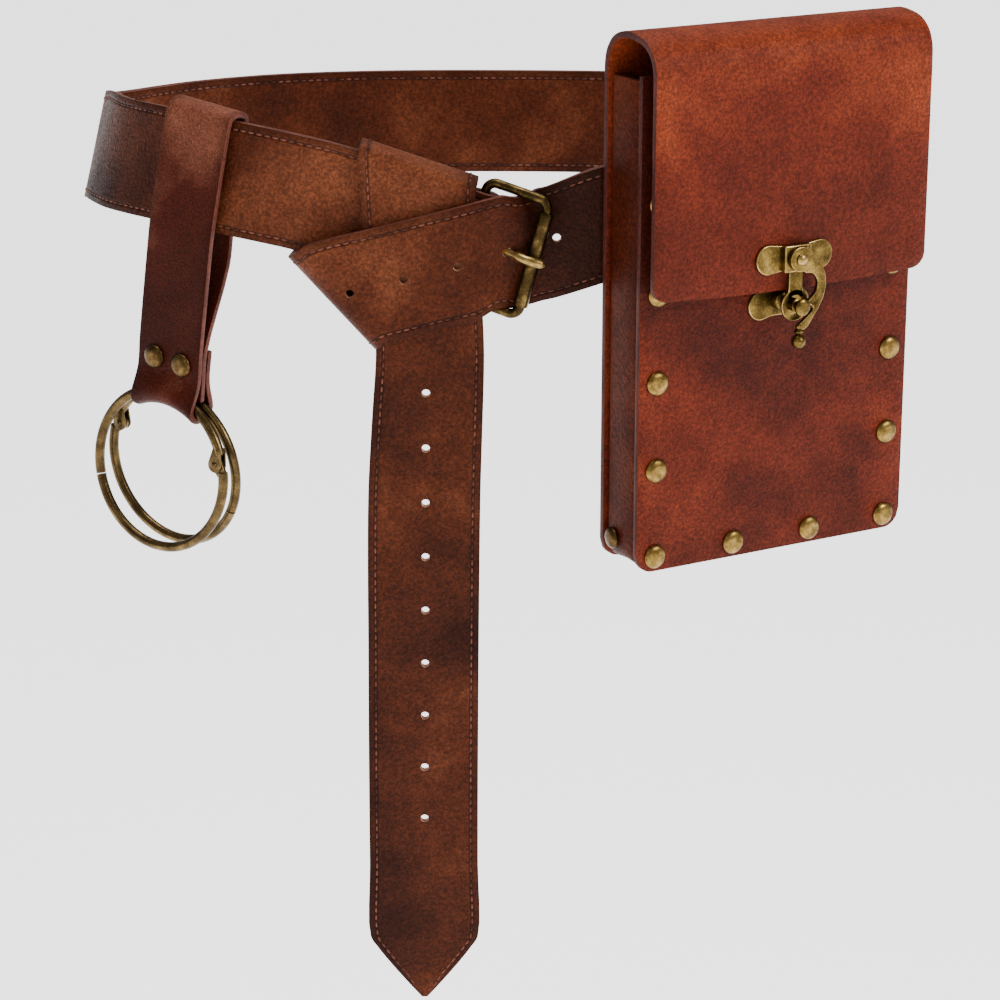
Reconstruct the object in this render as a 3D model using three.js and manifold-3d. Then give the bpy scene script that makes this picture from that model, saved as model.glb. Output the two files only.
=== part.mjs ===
// A medieval belt pouch: a tall flap pouch worn on a knotted strap belt, with a ring frog at the other hip.
// Units are millimetres and +Z is up. The origin is the middle of the waist that the belt goes round.
// +X runs along the pouch's width and -Y is the way that the pouch faces.
import * as THREE from 'three';
import { mergeVertices } from 'three/addons/utils/BufferGeometryUtils.js';
import Module from 'manifold-3d';

const wasm = await Module();
wasm.setup();

const degree = Math.PI / 180;

// Clearances between pieces that touch on the real thing
const clearance = 0.35;
const slack = 0.4;

// Belt
const waistHalfWidth = 136;
const waistHalfDepth = 75;
const beltWidth = 40;
const beltThickness = 3;
const beltHoleDiameter = 3;
const beltHolePitch = 19.3;
const tailHolePitch = 20.3;
const tailHoleTop = 79;
const tailHoleCount = 9;
const tailReach = 314;
const tipLength = 25;
const tipWidth = 2;

// Knot at the buckle, in the plane that faces the front of the belt
const knotDepthShare = 1.04;
const buckleAcross = 3.5;
const buckleDrop = 20.8;
const mainSlope = 15.5 * degree;
const bightSlope = 14.4 * degree;
const creaseSlope = 51 * degree;
const bightLength = 58;
const returnLength = 12;
const tailAcross = -15.5;
const tailShift = 3;

// Buckle
const buckleWireDiameter = 3.4;
const buckleReach = 22;
const buckleSpare = 1;
const buckleCorner = 3.4;
const hingeEndHalfWidth = 16.8;
const rollerDiameter = 5.2;
const rollerLift = 5.3;
const prongDiameter = 2.5;
const prongHoleReach = 12.5;

// Pouch
const pouchWidth = 115;
const pouchHeight = 176;
const pouchDepth = 24.2;
const pouchTurn = 30 * degree;
const pouchLeather = 2.2;
const cornerRadius = 7;
const flangeWidth = 12;
const flapStandoff = 6.5;
const flapArch = 12.8;
const flapCorner = 5;
const flapDropShare = 0.4324;
const beltHeightShare = 0.71;

// Rivets
const rivetCapDiameter = 8.6;
const rivetCapHeight = 1.7;
const rivetShankDiameter = 2.6;
const rivetFoot = 0.8;
const rivetEdgeAcross = 7.6;
const rivetEdgeUp = 5.6;
const rivetRowPitch = 31.6;
const rivetRows = 5;

// Loops behind the pouch
const loopWidth = 22;
const loopSpacingShare = 0.54;
const loopSlack = 8;
const loopTab = 14;

// Clasp
const claspAcross = -0.3;
const claspRise = 10;
const claspPlateWidth = 32;
const claspEarHeight = 10.6;
const claspSheet = 1.2;
const claspBoxWidth = 11;
const claspBoxHeight = 9.5;
const claspBoxDepth = 3.4;
const claspPostDrop = 16.8;
const claspPostDiameter = 4.6;
const claspHeadDiameter = 6;
const claspHookThickness = 1.7;
const claspDiscDiameter = 9;
const claspPinDiameter = 2.4;
const claspBallDiameter = 5.2;
const claspCollarDiameter = 3.2;
const claspNeckWidth = 5.6;
const claspEyeWall = 2.1;
const claspEyeDiameter = 7.2;
const claspPinHeadDiameter = 4.2;
const claspPinHeadHeight = 0.9;

// Ring frog
const frogWidth = 28;
const frogThickness = 2.2;
const frogAcrossShare = -0.665;
const frogHang = 61;
const frogTilt = 7.2 * degree;
const frogRivetSpacing = 12.4;
const frogRivetDiameter = 8.6;
const frogEndRise = 11;

// Rings
const ringDiameter = 61.5;
const ringWireDiameter = 3.6;
const ringSplitAngle = 20 * degree;
const ringPinDiameter = 1.4;
const ringPinInset = 2.2;
const ringSplay = 3.5 * degree;
const hingeReach = 3.2;
const hingeCheekDiameter = 5.8;
const hingeTongueThickness = 1.4;

const leather = { color: 0x6e2c1a, roughness: 0.62, metalness: 0 };
const beltLeather = { color: 0x55271a, roughness: 0.6, metalness: 0 };
const frogLeather = { color: 0x45201a, roughness: 0.55, metalness: 0 };
const brass = { color: 0x8a6a34, roughness: 0.35, metalness: 1 };

const point = (x, y, z) => new THREE.Vector3(x, y, z);

// Every node is made here, so that its name, finish and place are set in one way
const named = (name, geometry, finish) => {
  const mesh = new THREE.Mesh(geometry, new THREE.MeshStandardMaterial(finish));
  mesh.name = name;
  return mesh;
};

// Joining and cutting of closed bodies
const toSolid = (geometry) => {
  const bare = geometry.clone();
  bare.deleteAttribute('normal');
  bare.deleteAttribute('uv');
  const merged = mergeVertices(bare, 1e-4);
  return new wasm.Manifold(new wasm.Mesh({
    numProp: 3,
    vertProperties: new Float32Array(merged.attributes.position.array),
    triVerts: new Uint32Array(merged.index.array),
  }));
};

const toGeometry = (solid) => {
  const mesh = solid.getMesh();
  const geometry = new THREE.BufferGeometry();
  geometry.setAttribute('position', new THREE.BufferAttribute(mesh.vertProperties, 3));
  geometry.setIndex(new THREE.BufferAttribute(mesh.triVerts, 1));
  return geometry;
};

const join = (...geometries) => toGeometry(geometries.map(toSolid).reduce((sum, next) => sum.add(next)));

const cut = (geometry, ...tools) =>
  toGeometry(tools.map(toSolid).reduce((rest, tool) => rest.subtract(tool), toSolid(geometry)));

// A closed mesh from rings of points that join each to the next: the ends are capped unless it closes on itself
const skin = (rings, closed) => {
  const sides = rings[0].length;
  const positions = rings.flat().flatMap((p) => [p.x, p.y, p.z]);
  const index = [];
  const count = closed ? rings.length : rings.length - 1;
  for (let i = 0; i < count; i += 1) {
    for (let j = 0; j < sides; j += 1) {
      const a = i * sides + j;
      const b = i * sides + ((j + 1) % sides);
      const c = ((i + 1) % rings.length) * sides + j;
      const d = ((i + 1) % rings.length) * sides + ((j + 1) % sides);
      index.push(a, b, d, a, d, c);
    }
  }
  if (!closed) {
    const last = (rings.length - 1) * sides;
    for (let a = 0; a + 1 <= sides - 2 - a; a += 1) {
      const [b, c, d] = [a + 1, sides - 2 - a, sides - 1 - a];
      index.push(a, d, c, last + a, last + c, last + d);
      if (b !== c) {
        index.push(a, c, b, last + a, last + b, last + c);
      }
    }
  }
  const geometry = new THREE.BufferGeometry();
  geometry.setAttribute('position', new THREE.Float32BufferAttribute(positions, 3));
  geometry.setIndex(volume(positions, index) < 0 ? index.reverse() : index);
  return geometry;
};

const volume = (positions, index) => {
  const corner = (i) => point(positions[3 * i], positions[3 * i + 1], positions[3 * i + 2]);
  let sum = 0;
  for (let i = 0; i < index.length; i += 3) {
    sum += corner(index[i]).dot(corner(index[i + 1]).cross(corner(index[i + 2])));
  }
  return sum / 6;
};

// A leather sheet: rows of points on its middle surface are given its thickness on both sides
const sheet = (rows, thickness) => {
  const last = rows.length - 1;
  const columns = rows[0].length;
  const rings = rows.map((row, i) => {
    const front = [];
    const back = [];
    row.forEach((p, j) => {
      const along = rows[Math.min(i + 1, last)][j].clone().sub(rows[Math.max(i - 1, 0)][j]);
      const across = row[Math.min(j + 1, columns - 1)].clone().sub(row[Math.max(j - 1, 0)]);
      const normal = along.cross(across).normalize().multiplyScalar(thickness / 2);
      front.push(p.clone().add(normal));
      back.unshift(p.clone().sub(normal));
    });
    return [...front, ...back];
  });
  return skin(rings, false);
};

// A round wire along points that lie in one plane
const wire = (points, planeNormal, radius, sides, closed) => {
  const last = points.length - 1;
  const rings = points.map((p, i) => {
    const before = closed ? points[(i + last) % (last + 1)] : points[Math.max(i - 1, 0)];
    const after = closed ? points[(i + 1) % (last + 1)] : points[Math.min(i + 1, last)];
    const side = after.clone().sub(before).cross(planeNormal).normalize();
    const ring = [];
    for (let k = 0; k < sides; k += 1) {
      const angle = ((k + 0.5) * 2 * Math.PI) / sides;
      const offset = side.clone().multiplyScalar(Math.cos(angle) * radius);
      ring.push(p.clone().add(offset).addScaledVector(planeNormal, Math.sin(angle) * radius));
    }
    return ring;
  });
  return skin(rings, closed);
};

const arc = (steps, from, to, place) => {
  const points = [];
  for (let i = 0; i <= steps; i += 1) {
    points.push(place(from + ((to - from) * i) / steps));
  }
  return points;
};

// A round bar from one point to another
const rod = (from, to, radius, sides) => {
  const length = from.distanceTo(to);
  const geometry = new THREE.CylinderGeometry(radius, radius, length, sides);
  const turn = new THREE.Quaternion().setFromUnitVectors(point(0, 1, 0), to.clone().sub(from).normalize());
  geometry.applyQuaternion(turn);
  geometry.translate(...from.clone().add(to).multiplyScalar(0.5).toArray());
  return geometry;
};

const acrossPoints = 4;
const spread = (place) => {
  const points = [];
  for (let j = 0; j < acrossPoints; j += 1) {
    points.push(place(j / (acrossPoints - 1)));
  }
  return points;
};

// Belt: the plane of the knot, seen from the front, has x to the right, z up and depth away from the viewer
const knotDepth = waistHalfDepth * knotDepthShare;
const ply = beltThickness + slack;
const halfBelt = beltWidth / 2;
const buckleHalfWidth = halfBelt + buckleSpare;
const inKnot = (x, z, depth) => point(x, depth - knotDepth, z);
const mainRun = { x: Math.cos(mainSlope), z: -Math.sin(mainSlope) };
const mainUp = { x: Math.sin(mainSlope), z: Math.cos(mainSlope) };
const hingeFold = buckleWireDiameter / 2 + clearance + beltThickness / 2;

const mainPoint = (along, up, depth) => inKnot(
  buckleAcross + mainRun.x * along + mainUp.x * up,
  -buckleDrop + mainRun.z * along + mainUp.z * up,
  depth,
);
// The strap's end narrows to go inside the buckle
const mainHalf = (along) =>
  THREE.MathUtils.lerp(halfBelt, hingeEndHalfWidth, THREE.MathUtils.smoothstep(along, -beltWidth * 0.55, -5));
const mainRow = (along, depth) =>
  [mainPoint(along, mainHalf(along), depth), mainPoint(along, -mainHalf(along), depth)];

const bightRun = { x: Math.cos(bightSlope), z: Math.sin(bightSlope) };
const prongHole = mainPoint(prongHoleReach, 0, 0);
const bightPoint = (along, up, depth) => inKnot(
  prongHole.x + bightRun.x * along - bightRun.z * up,
  prongHole.z + bightRun.z * along + bightRun.x * up,
  depth,
);
const bightRow = (along, depth) => [bightPoint(along, halfBelt, depth), bightPoint(along, -halfBelt, depth)];

// How deep the strap lies near the buckle: in front of the tail, then down behind the roller, and deeper
// still where its upper edge is squeezed under the frame
const bendRadius = rollerDiameter / 2 + clearance + beltThickness / 2 + 0.05;
const strapDepth = (along, up) => {
  const start = buckleReach * 0.2 - up * 0.28;
  const apart = new THREE.Vector2(buckleReach - start, 2 * ply - rollerLift);
  const rise = Math.atan2(apart.y, apart.x) + Math.asin(bendRadius / apart.length());
  const turn = buckleReach - bendRadius * Math.sin(rise);
  let depth = -rollerLift + bendRadius;
  if (along < turn) {
    depth = -2 * ply + Math.max(along - start, 0) * Math.tan(rise);
  } else if (along < buckleReach) {
    depth = -rollerLift + Math.sqrt(bendRadius ** 2 - (buckleReach - along) ** 2);
  }
  const squeezed = THREE.MathUtils.smoothstep(up, halfBelt * 0.45, halfBelt * 0.95)
    * THREE.MathUtils.smoothstep(along, buckleReach * 0.27, buckleReach * 0.7)
    * (1 - THREE.MathUtils.smoothstep(along, buckleReach * 0.7, buckleReach * 1.25));
  return depth + 1.15 * ply * squeezed;
};

// The strap's two edges as they go through the buckle, right to left: shares of the buckle's reach from
// its hinge bar, and of half the strap's width up from its middle
const throughBuckle = [
  { upperAlong: 0.89, upperUp: 1.23, lowerAlong: 1.52, lowerUp: -0.58 },
  { upperAlong: 0.74, upperUp: 1.13, lowerAlong: 1.32, lowerUp: -0.7 },
  { upperAlong: 0.665, upperUp: 1.01, lowerAlong: 1.16, lowerUp: -0.79 },
  { upperAlong: 0.62, upperUp: 0.915, lowerAlong: 1.02, lowerUp: -0.865 },
  { upperAlong: 0.54, upperUp: 0.88, lowerAlong: 0.89, lowerUp: -0.915 },
  { upperAlong: 0.42, upperUp: 0.88, lowerAlong: 0.75, lowerUp: -0.945 },
  { upperAlong: 0.27, upperUp: 0.91, lowerAlong: 0.605, lowerUp: -1.03 },
  { upperAlong: 0.115, upperUp: 0.865, lowerAlong: 0.47, lowerUp: -1.17 },
];
const throughRow = (stop) => {
  const upper = { along: stop.upperAlong * buckleReach, up: stop.upperUp * halfBelt };
  const lower = { along: stop.lowerAlong * buckleReach, up: stop.lowerUp * halfBelt };
  return spread((share) => {
    const along = THREE.MathUtils.lerp(upper.along, lower.along, share);
    const up = THREE.MathUtils.lerp(upper.up, lower.up, share);
    return mainPoint(along, up, strapDepth(along, up));
  });
};

// Where the pouch sits on the belt
const seat = point(waistHalfWidth * 0.718, -waistHalfDepth * 0.675, 0);
const pouchRight = point(Math.cos(pouchTurn), Math.sin(pouchTurn), 0);
const pouchOut = point(Math.sin(pouchTurn), -Math.cos(pouchTurn), 0);
const seatHeight = -beltWidth * 0.275;
const runHalf = pouchWidth * 0.45;
const runFall = beltWidth * 0.075;

const atSeat = (along) => seat.clone().addScaledVector(pouchRight, along)
  .setZ(seatHeight + (runFall * along) / runHalf);

// The hips: shares of the waist's half width and half depth, the rise as a share of the belt's width,
// and how far the lower edge leans out, in degrees
const hipTable = [
  { across: -0.59, back: -0.95, rise: -0.01, lean: 4 },
  { across: -0.77, back: -0.76, rise: 0.045, lean: 9 },
  { across: -0.91, back: -0.48, rise: 0.04, lean: 15 },
  { across: -0.98, back: -0.14, rise: 0, lean: 17 },
  { across: -1.005, back: 0.2, rise: -0.13, lean: 11 },
  { across: -0.94, back: 0.51, rise: -0.2, lean: 6 },
  { across: -0.79, back: 0.74, rise: -0.2, lean: 2 },
  { across: -0.55, back: 0.9, rise: -0.18, lean: 0 },
  { across: -0.26, back: 0.98, rise: -0.17, lean: 0 },
  { across: 0.02, back: 1, rise: -0.17, lean: 0 },
  { across: 0.32, back: 0.98, rise: -0.17, lean: 0 },
  { across: 0.63, back: 0.91, rise: -0.17, lean: 0 },
  { across: 0.88, back: 0.78, rise: -0.17, lean: 0 },
  { across: 1.05, back: 0.57, rise: -0.18, lean: 0 },
  { across: 1.14, back: 0.3, rise: -0.18, lean: 0 },
  { across: 1.165, back: 0.02, rise: -0.19, lean: 0 },
];

// The straight run behind the pouch, as shares of half its length
const seatShares = [1.35, 1.13, 0.56, 0, -0.5, -0.8, -0.92];
const strapBehindRoller = -rollerLift + bendRadius;
const hipCentres = () => {
  const stops = [
    { at: mainPoint(-40, 0, 0), lean: 0 },
    { at: mainPoint(-50, 0, 0), lean: 0 },
    { at: mainPoint(-62, 0, 0), lean: 0 },
  ];
  hipTable.forEach((row) => stops.push({
    at: point(row.across * waistHalfWidth, row.back * waistHalfDepth, row.rise * beltWidth),
    lean: row.lean,
  }));
  seatShares.forEach((share) => stops.push({ at: atSeat(share * runHalf), lean: 0 }));
  stops.push({ at: bightPoint(25, 0, strapBehindRoller), lean: 0 });
  stops.push({ at: bightPoint(14, 0, strapBehindRoller), lean: 0 });
  return stops;
};

const hipRows = (stepsPerStop) => {
  const stops = hipCentres();
  const spans = stops.length - 1;
  const curve = new THREE.CatmullRomCurve3(stops.map((stop) => stop.at), false, 'centripetal');
  const rows = [];
  for (let i = 1; i < spans - 1; i += 1) {
    for (let step = 0; step < stepsPerStop; step += 1) {
      const share = step / stepsPerStop;
      const t = (i + share) / spans;
      const centre = curve.getPoint(t);
      const along = curve.getTangent(t);
      const up = point(0, 0, 1).addScaledVector(along, -along.z).normalize();
      const out = up.clone().cross(along);
      const lean = (stops[i].lean + (stops[i + 1].lean - stops[i].lean) * share) * degree;
      const half = up.multiplyScalar(Math.cos(lean)).addScaledVector(out, -Math.sin(lean))
        .multiplyScalar(halfBelt);
      rows.push([centre.clone().add(half), centre.clone().sub(half)]);
    }
  }
  return rows;
};

// The crease where the strap turns back, and the fold over the belt's top edge, both round slanted axes
const creaseHalf = halfBelt / Math.sin(creaseSlope + bightSlope);
const creaseMiddle = bightPoint(-bightLength, 0, 0);
const creaseUpper = { x: creaseMiddle.x - Math.cos(creaseSlope) * creaseHalf };
creaseUpper.z = creaseMiddle.z + Math.sin(creaseSlope) * creaseHalf;
const creaseLower = { x: creaseMiddle.x + Math.cos(creaseSlope) * creaseHalf };
creaseLower.z = creaseMiddle.z - Math.sin(creaseSlope) * creaseHalf;
const creaseUpperRadius = 2 * ply;
const creaseLowerRadius = 1.15 * ply;

const mainTopHeight = (x) => -buckleDrop - (x - buckleAcross) * Math.tan(mainSlope)
  + (halfBelt + slack) / Math.cos(mainSlope);
const wrapFront = -ply;
const wrapBackLeft = 1.5 * ply;
const wrapBackRight = 2 * hingeFold + ply + slack;
const wrapLeft = tailAcross - halfBelt;
const wrapRight = tailAcross + halfBelt;
const wrapRise = beltThickness / 2 + 2.5 * clearance;
const foldAxisHeight = (x) =>
  mainTopHeight(x) - (halfBelt - hingeEndHalfWidth) * THREE.MathUtils.clamp((x - wrapLeft) / beltWidth, 0, 1);

const creaseRow = (angle) => {
  const reach = Math.sin(angle);
  const swing = -Math.cos(angle);
  const beyond = { x: -Math.sin(creaseSlope), z: -Math.cos(creaseSlope) };
  const lowerMiddle = creaseLowerRadius - 2 * ply;
  return [
    inKnot(creaseUpper.x + beyond.x * creaseUpperRadius * reach,
      creaseUpper.z + beyond.z * creaseUpperRadius * reach, swing * creaseUpperRadius),
    inKnot(creaseLower.x + beyond.x * creaseLowerRadius * reach,
      creaseLower.z + beyond.z * creaseLowerRadius * reach, lowerMiddle + swing * creaseLowerRadius),
  ];
};

const wrapRow = (angle) => {
  const edge = (x, back) => {
    const radius = (back - wrapFront) / 2;
    const middle = (back + wrapFront) / 2;
    return inKnot(x + mainUp.x * Math.sin(angle) * wrapRise,
      foldAxisHeight(x) + mainUp.z * Math.sin(angle) * wrapRise, middle + Math.cos(angle) * radius);
  };
  return [edge(wrapLeft, wrapBackLeft), edge(wrapRight, wrapBackRight)];
};

// The hanging tail: shares of the way from the wrap to the tip's shoulders, and of its sideways shift
const tailTable = [
  { down: 0.07, shift: 0.25, squeeze: 0 },
  { down: 0.16, shift: 0.8, squeeze: 0.02 },
  { down: 0.22, shift: 1, squeeze: 0.05 },
  { down: 0.28, shift: 0.9, squeeze: 0.03 },
  { down: 0.4, shift: 0.55, squeeze: 0 },
  { down: 0.6, shift: 0.3, squeeze: 0 },
  { down: 0.8, shift: 0.15, squeeze: 0 },
  { down: 1, shift: 0.1, squeeze: 0 },
];
const tailTop = foldAxisHeight(tailAcross);
const tailRow = (stop) => {
  const shift = tailAcross + tailShift * stop.shift;
  const left = shift - halfBelt * (1 - 2 * stop.squeeze);
  const right = shift + halfBelt;
  const topSlant = Math.tan(mainSlope) * Math.max(0, 1 - stop.down / 0.28);
  const height = tailTop - (tailReach - tipLength) * stop.down;
  return [
    inKnot(left, height + (tailAcross - left) * topSlant, wrapFront),
    inKnot(right, height + (tailAcross - right) * topSlant, wrapFront),
  ];
};

// Rows between key rows, on a smooth curve through each column of points
const smooth = (keys, steps) => {
  const spans = keys.length - 1;
  const curves = keys[0].map((_, j) =>
    new THREE.CatmullRomCurve3(keys.map((key) => key[j]), false, 'centripetal'));
  const rows = [];
  for (let i = 0; i <= spans * steps; i += 1) {
    rows.push(curves.map((curve) => curve.getPoint(i / (spans * steps))));
  }
  return rows;
};

const widen = (row) => (row.length === acrossPoints ? row : spread((share) => row[0].clone().lerp(row[1], share)));

const beltRows = () => {
  const returned = [
    mainRow(-returnLength, ply),
    mainRow(-returnLength * 0.45, (ply + 2 * hingeFold) / 2),
    ...arc(6, 0, Math.PI, (angle) =>
      mainRow(hingeFold * Math.sin(angle), hingeFold * (1 + Math.cos(angle)))),
    mainRow(-12, 0),
    mainRow(-30, 0),
    mainRow(-42, 0),
  ];
  const buckled = [
    ...throughBuckle.map(throughRow),
    bightRow(-14, -2 * ply),
    bightRow(-26, -2 * ply),
    bightRow(-40, -2 * ply),
  ];
  const creased = arc(8, 0, Math.PI, creaseRow);
  const wrapped = arc(8, 0, Math.PI, wrapRow);
  const behind = smooth([creased[7], creased[8], wrapped[0], wrapped[1]], 5).slice(6, 10);
  const tail = smooth([wrapped[8], ...tailTable.map(tailRow)], 2);
  const shoulder = tail[tail.length - 1];
  const middle = (shoulder[0].x + shoulder[1].x) / 2;
  const tip = [0.35, 0.75, 1].map((share) => {
    const half = THREE.MathUtils.lerp(halfBelt, tipWidth / 2, share ** 1.15);
    const height = shoulder[0].z - tipLength * share;
    return [inKnot(middle - half, height, wrapFront), inKnot(middle + half, height, wrapFront)];
  });
  const rows = [
    ...returned, ...hipRows(2), ...buckled, ...creased, ...behind, ...wrapped, ...tail.slice(1), ...tip];
  return rows.map(widen);
};

// The buckle's wire runs in a plane tilted about the hinge bar, so that the roller lies in front of the strap
const framePoint = (along, up) => mainPoint(
  along, up, hingeFold + ((-rollerLift - hingeFold) * along) / buckleReach);
const frameLoop = () => {
  const corner = (along, up, start) => arc(4, start, start + Math.PI / 2, (angle) =>
    framePoint(along + buckleCorner * Math.cos(angle), up + buckleCorner * Math.sin(angle)));
  const near = buckleCorner;
  const far = buckleReach - buckleCorner;
  const high = buckleHalfWidth - buckleCorner;
  return [
    ...corner(far, high, 0),
    ...corner(near, high, Math.PI / 2),
    ...corner(near, -high, Math.PI),
    ...corner(far, -high, 1.5 * Math.PI),
  ];
};
const frameNormal = framePoint(1, 0).sub(framePoint(0, 0)).cross(framePoint(0, 1).sub(framePoint(0, 0)))
  .normalize();
const frameWire = (extra) => wire(frameLoop(), frameNormal, buckleWireDiameter / 2 + extra, 8, true);

const rollerHalf = buckleHalfWidth - buckleCorner - 0.5;
const rollerTube = (extra) => {
  const inner = buckleWireDiameter / 2 + clearance;
  const outer = rollerDiameter / 2 + extra;
  const half = rollerHalf + extra;
  const profile = [
    new THREE.Vector2(inner, -half),
    new THREE.Vector2(outer, -half),
    new THREE.Vector2(outer, half),
    new THREE.Vector2(inner, half),
    new THREE.Vector2(inner, -half),
  ];
  const geometry = new THREE.LatheGeometry(profile, 14);
  const up = framePoint(buckleReach, 1).sub(framePoint(buckleReach, 0)).normalize();
  geometry.applyQuaternion(new THREE.Quaternion().setFromUnitVectors(point(0, 1, 0), up));
  geometry.translate(...framePoint(buckleReach, 0).toArray());
  return geometry;
};

// The prong: an eye round the hinge bar, and a shank through the strap's hole that rests on the roller
const prongShank = (extra) => {
  const overRoller = -rollerLift - rollerDiameter / 2 - clearance - prongDiameter / 2;
  const underStrap = hingeFold - buckleWireDiameter / 2 - clearance - prongDiameter / 2;
  const path = new THREE.CatmullRomCurve3([
    mainPoint(0, 0, underStrap),
    mainPoint(prongHoleReach * 0.4, 0, underStrap - 0.6),
    mainPoint(prongHoleReach, 0, strapDepth(prongHoleReach, 0) - 0.2),
    mainPoint(buckleReach - rollerDiameter * 0.3, 0, overRoller),
    mainPoint(buckleReach + rollerDiameter * 0.75, 0, overRoller + 0.5),
  ], false, 'centripetal');
  return wire(path.getPoints(10), point(mainUp.x, 0, mainUp.z), prongDiameter / 2 + extra, 7, false);
};
const prongEye = (extra) => {
  const around = buckleWireDiameter / 2 + clearance + prongDiameter / 2;
  const steps = 10;
  const loop = arc(steps - 1, 0, (2 * Math.PI * (steps - 1)) / steps, (angle) =>
    mainPoint(around * Math.sin(angle), 0, hingeFold + around * Math.cos(angle)));
  return wire(loop, point(mainUp.x, 0, mainUp.z), prongDiameter / 2 + extra, 7, true);
};

// Holes: three along the bight, one to the right of the buckle and nine down the tail
const beltHoles = () => {
  const radius = beltHoleDiameter / 2;
  const through = 3 * ply;
  const drill = (at, from, to) => rod(
    point(at.x, from - knotDepth, at.z), point(at.x, to - knotDepth, at.z), radius, 8);
  const holes = [];
  [1, 2, 3].forEach((count) => {
    const at = bightPoint(-beltHolePitch * count + 1.5, 0, 0);
    holes.push(drill(at, -through, -1.5 * ply));
  });
  holes.push(drill(bightPoint(beltHolePitch - 1.5, 0, 0), -ply, through));
  for (let count = 0; count < tailHoleCount; count += 1) {
    const down = (tailHoleTop + tailHolePitch * count) / (tailReach - tipLength);
    const row = tailRow({ down, shift: Math.max(0.1, 1.1 - down), squeeze: 0 });
    const at = row[0].clone().add(row[1]).multiplyScalar(0.5);
    holes.push(drill(at, wrapFront - ply, wrapFront + ply * 0.8));
  }
  return holes;
};

const beltGeometry = () => cut(
  sheet(beltRows(), beltThickness),
  frameWire(clearance),
  rollerTube(clearance),
  prongShank(clearance),
  prongEye(clearance),
  ...beltHoles(),
);

// Rivets: a domed cap, a shank and a flat washer, along +Y with the cap towards -Y
const rivet = (capDiameter, grip) => {
  const cap = capDiameter / 2;
  const shank = rivetShankDiameter / 2;
  const inside = grip + 2 * clearance;
  const profile = [
    new THREE.Vector2(0, -rivetCapHeight),
    new THREE.Vector2(cap * 0.66, -rivetCapHeight * 0.75),
    new THREE.Vector2(cap, 0),
    new THREE.Vector2(shank, 0),
    new THREE.Vector2(shank, inside),
    new THREE.Vector2(shank + rivetFoot, inside),
    new THREE.Vector2(shank + rivetFoot, inside + rivetFoot),
    new THREE.Vector2(0, inside + rivetFoot),
  ];
  return new THREE.LatheGeometry(profile, 8);
};
const rivetHoleRadius = rivetShankDiameter / 2 + clearance;

const placeRivet = (name, capDiameter, grip, at, facing) => {
  const mesh = named(name, rivet(capDiameter, grip), brass);
  mesh.position.copy(at).addScaledVector(facing, clearance);
  mesh.quaternion.setFromUnitVectors(point(0, -1, 0), facing);
  return mesh;
};

// Pouch: local x is across its width from the middle, y is back from its rear face, z is up from its bottom
const halfPouch = pouchWidth / 2;
const frontFace = -pouchDepth;
const panelOutline = (top, bottomRadius, Path) => {
  const outline = new Path();
  outline.moveTo(-halfPouch, top);
  outline.lineTo(-halfPouch, bottomRadius);
  outline.absarc(-halfPouch + bottomRadius, bottomRadius, bottomRadius, Math.PI, 1.5 * Math.PI, false);
  outline.lineTo(halfPouch - bottomRadius, 0);
  outline.absarc(halfPouch - bottomRadius, bottomRadius, bottomRadius, -Math.PI / 2, 0, false);
  outline.lineTo(halfPouch, top);
  return outline;
};

const rivetPlaces = () => {
  const places = [];
  const columns = { left: rivetEdgeAcross - halfPouch, right: halfPouch - rivetEdgeAcross };
  Object.entries(columns).forEach(([side, x]) => {
    for (let row = 0; row < rivetRows; row += 1) {
      places.push({ name: `front_rivet_${side}_${row + 1}`, x, z: rivetEdgeUp + rivetRowPitch * row });
    }
  });
  [1, 2].forEach((count) => {
    const x = columns.left + ((columns.right - columns.left) * count) / 3;
    places.push({ name: `front_rivet_bottom_${count}`, x, z: rivetEdgeUp });
  });
  return places;
};

const circlePath = (x, z, radius) => {
  const path = new THREE.Path();
  path.absarc(x, z, radius, 0, 2 * Math.PI, true);
  return path;
};

// A flat plate from an outline in x and z, from the depth y to y + thickness
const plate = (shape, y, thickness, curveSegments = 4) => {
  const geometry = new THREE.ExtrudeGeometry(shape, { depth: thickness, bevelEnabled: false, curveSegments });
  geometry.rotateX(Math.PI / 2);
  geometry.translate(0, y + thickness, 0);
  return geometry;
};

const flapBottom = pouchHeight * (1 - flapDropShare);
const pivotAt = { x: claspAcross, z: flapBottom + claspRise };
const postAt = { x: claspAcross, z: pivotAt.z - claspPostDrop };

const frontPanelGeometry = () => {
  const shape = panelOutline(pouchHeight, cornerRadius, THREE.Shape);
  rivetPlaces().forEach((place) => shape.holes.push(circlePath(place.x, place.z, rivetHoleRadius)));
  shape.holes.push(circlePath(postAt.x, postAt.z, rivetHoleRadius));
  return plate(shape, frontFace, pouchLeather);
};

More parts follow.
